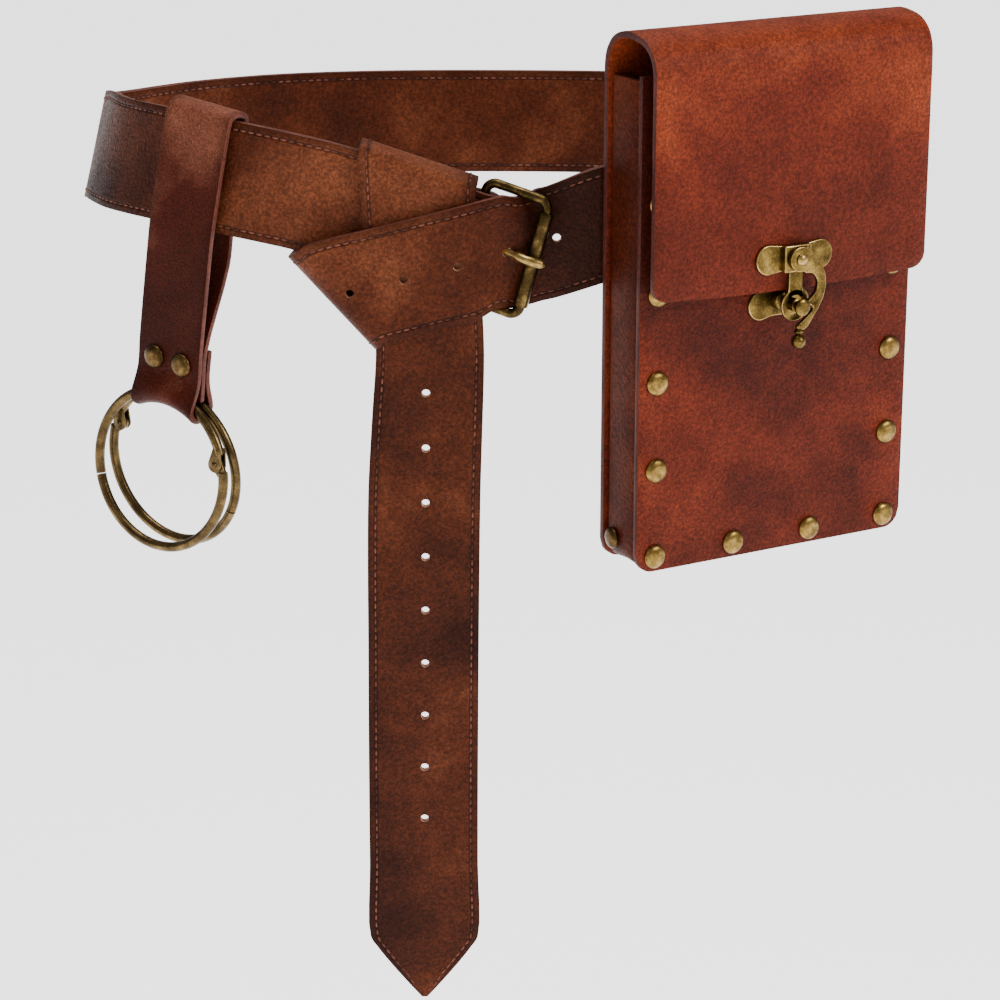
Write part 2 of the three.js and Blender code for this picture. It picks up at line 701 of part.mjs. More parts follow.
// The gusset: a U-shaped wall with flanges turned in behind both panels
const gussetFront = frontFace + pouchLeather + clearance;
const gussetBack = -pouchLeather - clearance;
const gussetInset = 0.8;
const gussetTop = pouchHeight - 2;
const uShape = (width) => {
  const outer = halfPouch - gussetInset;
  const inner = outer - width;
  const outerRadius = cornerRadius - gussetInset;
  const innerRadius = Math.max(outerRadius - width, 0.6);
  const low = gussetInset;
  const shape = new THREE.Shape();
  shape.moveTo(-outer, gussetTop);
  shape.lineTo(-outer, low + outerRadius);
  shape.absarc(-outer + outerRadius, low + outerRadius, outerRadius, Math.PI, 1.5 * Math.PI, false);
  shape.lineTo(outer - outerRadius, low);
  shape.absarc(outer - outerRadius, low + outerRadius, outerRadius, -Math.PI / 2, 0, false);
  shape.lineTo(outer, gussetTop);
  shape.lineTo(inner, gussetTop);
  shape.lineTo(inner, low + width + innerRadius);
  shape.absarc(inner - innerRadius, low + width + innerRadius, innerRadius, 0, -Math.PI / 2, true);
  shape.lineTo(-inner + innerRadius, low + width);
  shape.absarc(-inner + innerRadius, low + width + innerRadius, innerRadius, -Math.PI / 2, -Math.PI, true);
  shape.lineTo(-inner, gussetTop);
  return shape;
};

const gussetRivetUp = 9;
const gussetRivetBack = -7.5;
const gussetGeometry = () => {
  const wall = plate(uShape(pouchLeather), gussetFront, gussetBack - gussetFront);
  const frontShape = uShape(flangeWidth);
  rivetPlaces().forEach((place) => frontShape.holes.push(circlePath(place.x, place.z, rivetHoleRadius)));
  const front = plate(frontShape, gussetFront, pouchLeather);
  const back = plate(uShape(flangeWidth * 0.7), gussetBack - pouchLeather, pouchLeather);
  const side = halfPouch + 5;
  const drill = (from, to) => rod(
    point(from, gussetRivetBack, gussetRivetUp), point(to, gussetRivetBack, gussetRivetUp), rivetHoleRadius, 12);
  const reach = halfPouch - gussetInset - 2 * pouchLeather;
  return cut(join(wall, front, back), drill(-side, -reach), drill(reach, side));
};

// The back panel and flap are one piece: its side view, as shares of the pouch's depth and of the arch's rise
const flapFace = frontFace - flapStandoff - pouchLeather / 2;
const rearFace = -pouchLeather / 2;
const archTable = [
  { out: 0, up: 0.12 },
  { out: 0.04, up: 0.48 },
  { out: 0.16, up: 0.82 },
  { out: 0.36, up: 1 },
  { out: 0.6, up: 0.98 },
  { out: 0.8, up: 0.85 },
  { out: 0.93, up: 0.58 },
  { out: 0.99, up: 0.22 },
  { out: 1, up: -0.2 },
];

const flapRow = (y, z, half, sag) => {
  const row = [];
  const columns = 5;
  for (let j = 0; j <= columns; j += 1) {
    const share = (2 * j) / columns - 1;
    row.push(point(half * share, y, z - sag * (1 - share * share)));
  }
  return row;
};

const cornerHalf = (fromEnd, radius) => {
  const miss = Math.max(radius - fromEnd, 0);
  return halfPouch - radius + Math.sqrt(Math.max(radius * radius - miss * miss, 0));
};

const backFlapGeometry = () => {
  const rows = [0, 0.08, 0.3, 0.62, 1].map((share) =>
    flapRow(rearFace, cornerRadius * share, cornerHalf(cornerRadius * share, cornerRadius), 0));
  [0.3, 0.55, 0.8, 0.97].forEach((share) => rows.push(flapRow(rearFace, pouchHeight * share, halfPouch, 0)));
  archTable.forEach((stop) => rows.push(flapRow(
    rearFace + (flapFace - rearFace) * stop.out, pouchHeight + flapArch * stop.up, halfPouch, 0)));
  const drop = pouchHeight - flapBottom;
  [0.85, 0.6, 0.35, 0.12].forEach((share) =>
    rows.push(flapRow(flapFace, flapBottom + drop * share, halfPouch, 0)));
  [1, 0.62, 0.3, 0.08, 0].forEach((share) => rows.push(flapRow(
    flapFace, flapBottom + flapCorner * share, cornerHalf(flapCorner * share, flapCorner), 1.6 * (1 - share))));
  const holes = loopTabs().map((tab) => rod(
    point(tab.x, -pouchLeather - 2, tab.z), point(tab.x, 2, tab.z), rivetHoleRadius, 12));
  return cut(sheet(rows, pouchLeather), ...holes);
};

// Loops on the back that the belt runs through, each with a riveted tab above and below
const beltLine = pouchHeight * beltHeightShare;
const loopSpacing = pouchWidth * loopSpacingShare;
const loopOpening = beltWidth + loopSlack;
const loopTabs = () => {
  const tabs = [];
  const sides = { left: -loopSpacing / 2, right: loopSpacing / 2 };
  Object.entries(sides).forEach(([side, x]) => {
    [['bottom', -1], ['top', 1]].forEach(([end, sign]) => tabs.push({
      name: `loop_rivet_${side}_${end}`, x, z: beltLine + sign * (loopOpening / 2 + loopTab * 0.55),
    }));
  });
  return tabs;
};

const loopGeometry = (x) => {
  const flat = clearance + pouchLeather / 2;
  const stand = beltThickness + 2 * slack + pouchLeather / 2;
  const half = loopOpening / 2;
  const turn = 1.6;
  const profile = [
    [flat, -half - loopTab], [flat, -half - turn], [(flat + stand) / 2, -half],
    [stand, -half + turn], [stand, half - turn], [(flat + stand) / 2, half],
    [flat, half + turn], [flat, half + loopTab],
  ];
  const rows = profile.map(([y, z]) => [
    point(x - loopWidth / 2, y, beltLine + z), point(x + loopWidth / 2, y, beltLine + z)]);
  const holes = loopTabs().map((tab) => rod(
    point(tab.x, -1, tab.z), point(tab.x, 6, tab.z), rivetHoleRadius, 12));
  return cut(sheet(rows, pouchLeather), ...holes);
};

// Clasp: a plate with two ears and a raised box on the flap, and a tongue whose eye goes round the post
const flapOuter = flapFace - pouchLeather / 2;
const earShape = (centreX, centreZ, width, height) => {
  const shape = new THREE.Shape();
  const radius = height / 2;
  shape.moveTo(centreX - width / 2 + radius * 0.8, centreZ - radius);
  shape.lineTo(centreX + width / 2 - radius * 0.8, centreZ - radius);
  shape.quadraticCurveTo(centreX + width / 2, centreZ - radius, centreX + width / 2, centreZ);
  shape.quadraticCurveTo(centreX + width / 2, centreZ + radius, centreX + width / 2 - radius * 0.8, centreZ + radius);
  shape.lineTo(centreX - width / 2 + radius * 0.8, centreZ + radius);
  shape.quadraticCurveTo(centreX - width / 2, centreZ + radius, centreX - width / 2, centreZ);
  shape.quadraticCurveTo(centreX - width / 2, centreZ - radius, centreX - width / 2 + radius * 0.8, centreZ - radius);
  return shape;
};

const plateBack = flapOuter - clearance;
const boxFront = plateBack - claspBoxDepth;
const hookBack = boxFront - clearance;
const hookFront = hookBack - claspHookThickness;

const claspPlateGeometry = () => {
  const ears = plate(earShape(pivotAt.x, pivotAt.z, claspPlateWidth, claspEarHeight),
    plateBack - claspSheet, claspSheet);
  const box = new THREE.BoxGeometry(claspBoxWidth, claspBoxDepth, claspBoxHeight);
  box.translate(pivotAt.x, plateBack - claspBoxDepth / 2, pivotAt.z);
  const eyeOuter = claspEyeDiameter / 2 + claspEyeWall;
  const tongueY = plateBack - claspBoxDepth * 0.5;
  const neck = new THREE.BoxGeometry(claspNeckWidth, claspSheet, claspPostDrop - eyeOuter * 0.6);
  neck.translate(pivotAt.x, tongueY, pivotAt.z - (claspPostDrop - eyeOuter * 0.6) / 2);
  const eye = rod(point(postAt.x, tongueY - claspSheet / 2, postAt.z),
    point(postAt.x, tongueY + claspSheet / 2, postAt.z), eyeOuter, 18);
  const opening = rod(point(postAt.x, tongueY - 4, postAt.z),
    point(postAt.x, tongueY + 4, postAt.z), claspEyeDiameter / 2, 18);
  const pin = rod(point(pivotAt.x, boxFront + 0.5, pivotAt.z),
    point(pivotAt.x, hookFront - clearance - claspPinHeadHeight, pivotAt.z), claspPinDiameter / 2, 10);
  const head = rod(point(pivotAt.x, hookFront - clearance, pivotAt.z),
    point(pivotAt.x, hookFront - clearance - claspPinHeadHeight, pivotAt.z), claspPinHeadDiameter / 2, 10);
  return join(cut(join(ears, box, neck, eye), opening), pin, head);
};

// The hook's outline, from its disc round the right of the post to the stem of its ball, as shares of
// the post's drop: the outer edge going down, then the inner edge coming back up
const hookEdge = [
  { across: 0.13, down: -0.26 }, { across: 0.42, down: 0.05 }, { across: 0.6, down: 0.33 },
  { across: 0.63, down: 0.62 }, { across: 0.55, down: 0.92 }, { across: 0.36, down: 1.22 },
  { across: 0.12, down: 1.5 }, { across: -0.09, down: 1.42 }, { across: 0.17, down: 1.24 },
  { across: 0.33, down: 1.06 }, { across: 0.19, down: 0.93 }, { across: 0.37, down: 0.74 },
  { across: 0.42, down: 0.52 }, { across: 0.3, down: 0.33 }, { across: 0.08, down: 0.27 },
];
const hookGeometry = () => {
  const radius = claspDiscDiameter / 2;
  const edge = hookEdge.map((stop) => new THREE.Vector2(
    pivotAt.x + stop.across * claspPostDrop, pivotAt.z - stop.down * claspPostDrop));
  const shape = new THREE.Shape(edge);
  const arm = plate(shape, hookFront, claspHookThickness);
  const disc = rod(point(pivotAt.x, hookFront, pivotAt.z), point(pivotAt.x, hookBack, pivotAt.z), radius, 16);
  const bore = rod(point(pivotAt.x, hookFront - 2, pivotAt.z), point(pivotAt.x, hookBack + 2, pivotAt.z),
    claspPinDiameter / 2 + clearance, 10);
  const middle = (hookFront + hookBack) / 2;
  const stemTop = point(pivotAt.x + 0.03 * claspPostDrop, middle, pivotAt.z - 1.4 * claspPostDrop);
  const ballAt = point(pivotAt.x, middle, pivotAt.z - 1.75 * claspPostDrop);
  const stem = rod(stemTop, ballAt, 1, 8);
  const ball = new THREE.SphereGeometry(claspBallDiameter / 2, 10, 6);
  ball.translate(...ballAt.toArray());
  const collar = new THREE.SphereGeometry(claspCollarDiameter / 2, 8, 5);
  collar.translate(...stemTop.clone().lerp(ballAt, 0.42).toArray());
  return join(cut(join(arm, disc), bore), stem, ball, collar);
};

// The post on the front panel: an eared plate, a collar, a neck that the hook catches and a round head
const claspPostGeometry = () => {
  const base = plate(earShape(postAt.x, postAt.z - 1.5, claspPlateWidth * 0.8, claspEarHeight),
    frontFace - clearance - claspSheet, claspSheet);
  const along = (distance) => point(postAt.x, frontFace - distance, postAt.z);
  const hookAt = frontFace - hookBack;
  const radius = claspPostDiameter / 2;
  const collar = rod(along(clearance + 0.2), along(flapStandoff * 0.7), radius + 1.2, 14);
  const post = rod(along(clearance + 0.2), along(hookAt), radius, 14);
  const neck = rod(along(clearance), along(hookAt + claspHookThickness + 1.5), radius * 0.8, 14);
  const head = rod(along(hookAt + claspHookThickness + clearance), along(hookAt + claspHookThickness + 2.2),
    claspHeadDiameter / 2, 14);
  const shank = rod(along(1), along(-pouchLeather - clearance - 0.8), rivetShankDiameter / 2, 12);
  const washer = rod(along(-pouchLeather - clearance), along(-pouchLeather - clearance - 0.8), 4, 12);
  return join(base, collar, post, neck, head, shank, washer);
};

// Ring frog: local u is along the strap's width, y is back from the way it faces, z is up from the belt
const beltAtFrog = hipRows(4).reduce((best, row, i, rows) => {
  const centre = row[0].clone().add(row[1]).multiplyScalar(0.5);
  const miss = Math.abs(centre.x - frogAcrossShare * waistHalfWidth) + (centre.y > 0 ? waistHalfWidth : 0);
  const next = rows[Math.min(i + 1, rows.length - 1)];
  const along = next[0].clone().sub(row[0]);
  return miss < best.miss ? { miss, centre, along, across: row[0].clone().sub(row[1]) } : best;
}, { miss: Infinity });
const frogTurn = Math.atan2(beltAtFrog.along.y, -beltAtFrog.along.x);
const beltLeanAtFrog = Math.acos(beltAtFrog.across.z / beltWidth);
const beltBulge = (frogWidth / 2) ** 2 / waistHalfDepth / 2;
const ringRadius = (ringDiameter - ringWireDiameter) / 2;
const frogPly = frogThickness + clearance;
const frogFold = ringWireDiameter + 1.6 * clearance + 1.2 * frogThickness / 2;
const frogFoldDrop = ringWireDiameter / 2 + 2.8 * clearance + 1.2 * frogThickness / 2;
const beltBackAtFrog = beltThickness / 2 + slack + frogThickness / 2 + 0.9;
const ringWireTop = -frogHang - halfBelt;
const frogRivetUp = ringWireTop + 12.5;

// Side view of the frog's strap: how far back it lies and how high, from its inner end over the belt to its outer end
const frogPath = () => {
  const top = halfBelt * Math.cos(beltLeanAtFrog) + clearance;
  const leanOut = Math.sin(beltLeanAtFrog) * halfBelt;
  const frontTop = leanOut - beltBackAtFrog;
  const frontLow = -leanOut - beltBackAtFrog;
  const backTop = leanOut + beltBackAtFrog + beltBulge;
  const backLow = -leanOut + beltBackAtFrog + 2.4 * beltBulge;
  const hang = frontLow + frogPly * 0.4;
  const radius = (backTop - frontTop) / 2;
  const middle = (backTop + frontTop) / 2;
  const over = arc(6, 0, Math.PI, (angle) =>
    [middle + radius * Math.cos(angle), top + frogPly * Math.sin(angle)]);
  const around = arc(8, 0, Math.PI, (angle) =>
    [hang - frogFold * Math.cos(angle), ringWireTop - frogFoldDrop * Math.sin(angle)]);
  const flat = frogRivetUp - frogRivetDiameter * 0.55;
  const joined = frogRivetUp + frogRivetDiameter * 0.7;
  return {
    hang,
    stops: [
      [hang, ringWireTop + ringWireDiameter / 2 + 2 * clearance],
      [hang, flat],
      [hang, joined],
      [backLow - frogPly * 0.3, -top - beltWidth * 0.3],
      [backLow, -top],
      ...over,
      [frontLow, -top],
      [frontLow - frogPly * 0.2, -top - beltWidth * 0.25],
      [hang - frogPly, joined],
      [hang - frogPly, flat],
      ...around,
      [hang + frogPly, flat],
      [hang + frogPly, frogRivetUp + frogEndRise * 0.55],
    ],
  };
};

const ringArch = (u) => ringRadius - Math.sqrt(ringRadius ** 2 - u ** 2);

const frogRows = () => {
  const { stops } = frogPath();
  const lowest = ringWireTop;
  const blend = 12;
  return stops.map(([y, z]) => {
    const row = [];
    const columns = 4;
    for (let j = 0; j <= columns; j += 1) {
      const u = (frogWidth * j) / columns - frogWidth / 2;
      const near = THREE.MathUtils.clamp((lowest + blend - z) / blend, 0, 1);
      row.push(point(u, y, z - ringArch(u) * near));
    }
    return row;
  });
};

const frogGeometry = () => {
  const { hang } = frogPath();
  const holes = [-0.5, 0.5].map((share) => {
    const u = frogRivetSpacing * share;
    return rod(point(u, hang - 10, frogRivetUp), point(u, hang + 10, frogRivetUp), rivetHoleRadius, 12);
  });
  return cut(sheet(frogRows(), frogThickness), ...holes);
};

// Hinged rings: the upper half carries two cheeks and the pin, the lower half a tongue between them
const ringArc = (from, to, steps) => arc(steps, from, to, (angle) =>
  point(ringRadius * Math.cos(angle), 0, ringRadius * Math.sin(angle)));
const hingeAngle = hingeReach / ringRadius;
const endGap = (0.7 * clearance) / ringRadius;
const pinAt = () => point((ringRadius - ringPinInset) * Math.cos(ringSplitAngle), 0,
  (ringRadius - ringPinInset) * Math.sin(ringSplitAngle));
const cheekRadius = hingeCheekDiameter / 2;
const tongueHalf = hingeTongueThickness / 2;

const hingePlate = (toward, from, to, radius) => {
  const pin = pinAt();
  const disc = rod(point(pin.x, from, pin.z), point(pin.x, to, pin.z), radius, 14);
  const angle = ringSplitAngle + toward * (hingeAngle + 0.02);
  const end = point(ringRadius * Math.cos(angle), 0, ringRadius * Math.sin(angle));
  const across = end.clone().sub(pin);
  const length = across.length();
  const strip = new THREE.BoxGeometry(length, to - from, radius * 1.3);
  strip.rotateY(-Math.atan2(across.z, across.x));
  strip.translate((pin.x + end.x) / 2, (from + to) / 2, (pin.z + end.z) / 2);
  return join(disc, strip);
};

const ringUpper = () => {
  const radius = ringWireDiameter / 2;
  const half = wire(ringArc(ringSplitAngle + hingeAngle, ringSplitAngle + Math.PI - endGap, 13),
    point(0, 1, 0), radius, 8, false);
  const pin = pinAt();
  const inner = tongueHalf + clearance;
  const near = hingePlate(1, -radius * 0.98, -inner, cheekRadius);
  const far = hingePlate(1, inner, radius * 0.98, cheekRadius);
  const bar = rod(point(pin.x, -radius * 1.1, pin.z), point(pin.x, radius * 1.1, pin.z), ringPinDiameter / 2, 10);
  return join(half, near, far, bar);
};

const ringLower = () => {
  const radius = ringWireDiameter / 2;
  const half = wire(ringArc(ringSplitAngle - hingeAngle, ringSplitAngle - Math.PI + endGap, 13),
    point(0, 1, 0), radius, 8, false);
  const pin = pinAt();
  const tongue = hingePlate(-1, -tongueHalf, tongueHalf, cheekRadius - 0.2);
  const bore = rod(point(pin.x, -radius * 2, pin.z), point(pin.x, radius * 2, pin.z),
    ringPinDiameter / 2 + clearance, 10);
  return cut(join(half, tongue), bore);
};

// Assembly: the belt's own plan is turned so that the pouch faces -Y
const wearer = new THREE.Group();
const plan = new THREE.Group();
plan.rotation.z = -pouchTurn;
wearer.add(plan);

plan.add(named('belt_strap', beltGeometry(), beltLeather));
plan.add(named('buckle_frame', frameWire(0), brass));
plan.add(named('buckle_roller', rollerTube(0), brass));
plan.add(named('buckle_prong', join(prongEye(0), prongShank(0)), brass));

const pouch = new THREE.Group();
pouch.rotation.z = pouchTurn;
pouch.position.copy(seat).addScaledVector(pouchOut, beltThickness / 2 + slack).setZ(seatHeight - beltLine);
plan.add(pouch);
pouch.add(named('pouch_back_flap', backFlapGeometry(), leather));
pouch.add(named('pouch_front_panel', frontPanelGeometry(), leather));
pouch.add(named('pouch_gusset', gussetGeometry(), leather));
rivetPlaces().forEach((place) => pouch.add(placeRivet(place.name, rivetCapDiameter,
  2 * pouchLeather + clearance, point(place.x, frontFace, place.z), point(0, -1, 0))));
[['left', -1], ['right', 1]].forEach(([side, sign]) => {
  pouch.add(placeRivet(`gusset_rivet_${side}`, rivetCapDiameter * 0.9, pouchLeather,
    point(sign * (halfPouch - gussetInset), gussetRivetBack, gussetRivetUp), point(sign, 0, 0)));
  pouch.add(named(`belt_loop_${side}`, loopGeometry((sign * loopSpacing) / 2), leather));
});
loopTabs().forEach((tab) => pouch.add(placeRivet(tab.name, rivetCapDiameter * 0.9,
  2 * pouchLeather + clearance, point(tab.x, pouchLeather + clearance, tab.z), point(0, 1, 0))));
pouch.add(named('clasp_plate', claspPlateGeometry(), brass));
pouch.add(named('clasp_hook', hookGeometry(), brass));
pouch.add(named('clasp_post', claspPostGeometry(), brass));

const frogOnBelt = new THREE.Group();
frogOnBelt.rotation.z = -frogTurn;
frogOnBelt.position.copy(beltAtFrog.centre);
plan.add(frogOnBelt);
const frog = new THREE.Group();
frog.rotation.y = frogTilt;
frogOnBelt.add(frog);
frog.add(named('ring_strap', frogGeometry(), frogLeather));
const frogHangAt = frogPath().hang;
[1, 2].forEach((count) => frog.add(placeRivet(`ring_strap_rivet_${count}`, frogRivetDiameter,
  3 * frogThickness + 2 * clearance,
  point(frogRivetSpacing * (count - 1.5), frogHangAt - frogPly - frogThickness / 2,
    frogRivetUp), point(0, -1, 0))));

[['front', -1, 0], ['back', 1, Math.PI]].forEach(([which, sign, about]) => {
  const hang = new THREE.Group();
  hang.position.set(0, frogHangAt + (sign * (ringWireDiameter + clearance)) / 2, ringWireTop);
  hang.rotation.x = sign * ringSplay;
  const centred = new THREE.Group();
  centred.position.z = -ringRadius;
  centred.rotation.z = about;
  hang.add(centred);
  frog.add(hang);
  centred.add(named(`ring_${which}_upper`, ringUpper(), brass));
  centred.add(named(`ring_${which}_lower`, ringLower(), brass));
});

export default wearer;
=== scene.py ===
from math import asin, atan2, cos, pi, radians, sin, sqrt, tan

import bpy
from mathutils import Matrix, Vector


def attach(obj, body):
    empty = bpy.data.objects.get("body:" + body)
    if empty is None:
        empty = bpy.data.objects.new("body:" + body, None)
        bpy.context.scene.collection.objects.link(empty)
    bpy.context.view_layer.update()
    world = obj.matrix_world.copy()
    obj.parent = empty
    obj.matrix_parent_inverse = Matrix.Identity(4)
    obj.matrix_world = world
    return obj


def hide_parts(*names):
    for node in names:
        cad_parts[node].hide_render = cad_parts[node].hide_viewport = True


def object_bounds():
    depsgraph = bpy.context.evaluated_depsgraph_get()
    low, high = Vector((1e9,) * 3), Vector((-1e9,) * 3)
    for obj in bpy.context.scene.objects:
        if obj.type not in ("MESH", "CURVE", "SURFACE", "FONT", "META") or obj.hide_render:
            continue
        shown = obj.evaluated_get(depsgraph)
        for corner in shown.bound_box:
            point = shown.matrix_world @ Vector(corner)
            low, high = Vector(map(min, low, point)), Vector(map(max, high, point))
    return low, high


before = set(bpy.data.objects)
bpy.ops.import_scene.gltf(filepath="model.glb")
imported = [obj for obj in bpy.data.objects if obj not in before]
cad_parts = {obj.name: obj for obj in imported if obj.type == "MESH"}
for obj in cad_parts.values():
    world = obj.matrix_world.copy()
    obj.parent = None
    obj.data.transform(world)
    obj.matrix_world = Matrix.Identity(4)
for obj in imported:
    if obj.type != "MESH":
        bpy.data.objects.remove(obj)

cad_low, cad_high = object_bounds()


# Camera, light and floor
# The pouch and belt hang in the air as if worn, seen from a little above and to the left of the
# pouch's face, in soft light from large lamps over a plain pale floor.
bpy.ops.object.select_all(action="DESELECT")
bpy.ops.object.camera_add(location=(-0.5397, -0.9609, 0.207), rotation=(radians(72.5), 0, radians(-30)))
camera = bpy.context.object
camera.data.lens = 108
camera.data.sensor_width = 36
bpy.context.scene.camera = camera


def set_sockets(shader, **values):
    """What is the same all over a surface is set on the shader's own sockets."""
    for socket, value in values.items():
        shader.inputs[socket.replace("_", " ")].default_value = value


room = bpy.data.worlds.new("pale_room")
room.use_nodes = True
set_sockets(room.node_tree.nodes["Background"], Color=(1, 1, 1, 1), Strength=0.35)
bpy.context.scene.world = room


def soft_lamp(name, place, aim, size, watts):
    bpy.ops.object.light_add(type="AREA", location=place)
    lamp = bpy.context.object
    lamp.name = name
    lamp.rotation_euler = (Vector(aim) - Vector(place)).to_track_quat("-Z", "Y").to_euler()
    lamp.data.size = size
    lamp.data.energy = watts


soft_lamp("lamp_front_right", (0.6, -1.1, 0.7), (0.03, 0, -0.05), 0.5, 15)
soft_lamp("lamp_left", (-1.1, -0.9, 0.5), (-0.1, 0, -0.1), 0.6, 1.5)
soft_lamp("lamp_above", (0.0, 0.1, 1.1), (0, 0, 0), 0.7, 14)

bpy.ops.object.select_all(action="DESELECT")
floor_drop = 0.35
bpy.ops.mesh.primitive_plane_add(size=40, location=(0, 0, cad_low.z - floor_drop))
floor = bpy.context.object
floor.name = "pale_floor"
floor_finish = bpy.data.materials.new("pale_floor")
floor_finish.use_nodes = True
set_sockets(floor_finish.node_tree.nodes["Principled BSDF"], Base_Color=(0.93, 0.93, 0.92, 1), Roughness=0.9,
            Emission_Color=(1, 1, 1, 1), Emission_Strength=2.1)
floor.data.materials.append(floor_finish)


# Belt strap
# One long strap of waxed leather, 40 mm wide and 3 mm thick. Its end is folded round the buckle's
# bar, and it goes round the waist, through the buckle, back and up behind itself, and hangs down.
MM = 0.001
clearance = 0.35
slack = 0.4
belt_width = 40.0
belt_thickness = 3.0
stitch_inset = 2.7
half_belt = belt_width / 2
waist_half_width = 136.0
waist_half_depth = 75.0
knot_depth = waist_half_depth * 1.04
pouch_width = 115.0
ply = belt_thickness + slack
buckle_across = 3.5
buckle_drop = 20.8
buckle_wire = 3.4
buckle_reach = 22.0
buckle_half_width = 21.0
roller_diameter = 5.2
roller_lift = 5.3
prong_hole_reach = 12.5
main_slope = radians(15.5)
bight_slope = radians(14.4)
crease_slope = radians(51)
hinge_end_half_width = 16.8
hinge_fold = buckle_wire / 2 + clearance + belt_thickness / 2
across_points = 13
pouch_turn = radians(30)


def worn(at):
    """The belt's plan is turned so that the pouch faces -Y, and millimetres become metres."""
    x = at.x * cos(pouch_turn) + at.y * sin(pouch_turn)
    y = -at.x * sin(pouch_turn) + at.y * cos(pouch_turn)
    return Vector((x, y, at.z)) * MM


def ease(value, low, high):
    share = min(max((value - low) / (high - low), 0), 1)
    return share * share * (3 - 2 * share)


def between(first, last, count):
    return [first.lerp(last, j / (count - 1)) for j in range(count)]


def curve_at(stops, place):
    """A place on the smooth curve that goes through each stop."""
    last = len(stops) - 1
    span = min(int(place), last - 1)
    share = place - span
    b, c = stops[span], stops[span + 1]
    a = stops[span - 1] if span > 0 else b * 2 - c
    d = stops[span + 2] if span + 2 <= last else c * 2 - b
    before, within, after = [sqrt(gap.length) for gap in (b - a, c - b, d - c)]
    within = within if within > 1e-4 else 1
    before = before if before > 1e-4 else within
    after = after if after > 1e-4 else within
    start = ((b - a) / before - (c - a) / (before + within) + (c - b) / within) * within
    end = ((c - b) / within - (d - b) / (within + after) + (d - c) / after) * within
    return (b + start * share + (-3 * b + 3 * c - 2 * start - end) * share ** 2
            + (2 * b - 2 * c + start + end) * share ** 3)


def smooth_rows(keys, steps):
    """Rows between key rows, on a smooth curve through each column of points."""
    count = (len(keys) - 1) * steps + 1
    columns = [[key[j] for key in keys] for j in range(len(keys[0]))]
    return [[curve_at(column, i / steps) for column in columns] for i in range(count)]


def arc(steps, start, end, place):
    return [place(start + (end - start) * i / steps) for i in range(steps + 1)]


def in_knot(x, z, depth):
    return Vector((x, depth - knot_depth, z))


def main_point(along, up, depth):
    return in_knot(
        buckle_across + cos(main_slope) * along + sin(main_slope) * up,
        -buckle_drop - sin(main_slope) * along + cos(main_slope) * up,
        depth)


def main_row(along, depth):
    half = half_belt + (hinge_end_half_width - half_belt) * ease(along, -belt_width * 0.55, -5)
    return [main_point(along, half, depth), main_point(along, -half, depth)]


prong_hole = main_point(prong_hole_reach, 0, 0)


def bight_point(along, up, depth):
    return in_knot(
        prong_hole.x + cos(bight_slope) * along - sin(bight_slope) * up,
        prong_hole.z + sin(bight_slope) * along + cos(bight_slope) * up,
        depth)


def bight_row(along, depth):
    return [bight_point(along, half_belt, depth), bight_point(along, -half_belt, depth)]


bend_radius = roller_diameter / 2 + clearance + belt_thickness / 2 + 0.05


def strap_depth(along, up):
    """How deep the strap lies in the buckle: over the bar, behind the roller, squeezed at its upper edge."""
    start = buckle_reach * 0.2 - up * 0.28
    apart = Vector((buckle_reach - start, 2 * ply - roller_lift))
    rise = atan2(apart.y, apart.x) + asin(bend_radius / apart.length)
    turn = buckle_reach - bend_radius * sin(rise)
    depth = -roller_lift + bend_radius
    if along < turn:
        depth = -2 * ply + max(along - start, 0) * tan(rise)
    elif along < buckle_reach:
        depth = -roller_lift + sqrt(bend_radius ** 2 - (buckle_reach - along) ** 2)
    squeezed = (ease(up, half_belt * 0.45, half_belt * 0.95)
                * ease(along, buckle_reach * 0.27, buckle_reach * 0.7)
                * (1 - ease(along, buckle_reach * 0.7, buckle_reach * 1.25)))
    return depth + 1.15 * ply * squeezed


# The strap in the buckle, right to left: how far along and up its upper edge runs, and then its lower
# edge, as shares of the buckle's reach and of half the belt's width
through_buckle = [
    (0.89, 1.23, 1.52, -0.58),
    (0.74, 1.13, 1.32, -0.7),
    (0.68, 1.05, 1.16, -0.81),
    (0.61, 0.99, 1.02, -0.9),
    (0.52, 0.96, 0.89, -0.955),
    (0.4, 0.945, 0.75, -0.975),
    (0.26, 0.94, 0.605, -1.03),
    (0.115, 0.865, 0.47, -1.17),
]


def through_row(stop):
    upper_along, upper_up, lower_along, lower_up = stop
    row = []
    for j in range(across_points):
        share = j / (across_points - 1)
        along = (upper_along * (1 - share) + lower_along * share) * buckle_reach
        up = (upper_up * (1 - share) + lower_up * share) * half_belt
        row.append(main_point(along, up, strap_depth(along, up)))
    return row


seat = Vector((waist_half_width * 0.718, -waist_half_depth * 0.675, 0))
pouch_right = Vector((cos(pouch_turn), sin(pouch_turn), 0))
seat_height = -belt_width * 0.275
run_half = pouch_width * 0.45


def at_seat(along):
    place = seat + pouch_right * along
    place.z = seat_height + belt_width * 0.075 * along / run_half
    return place


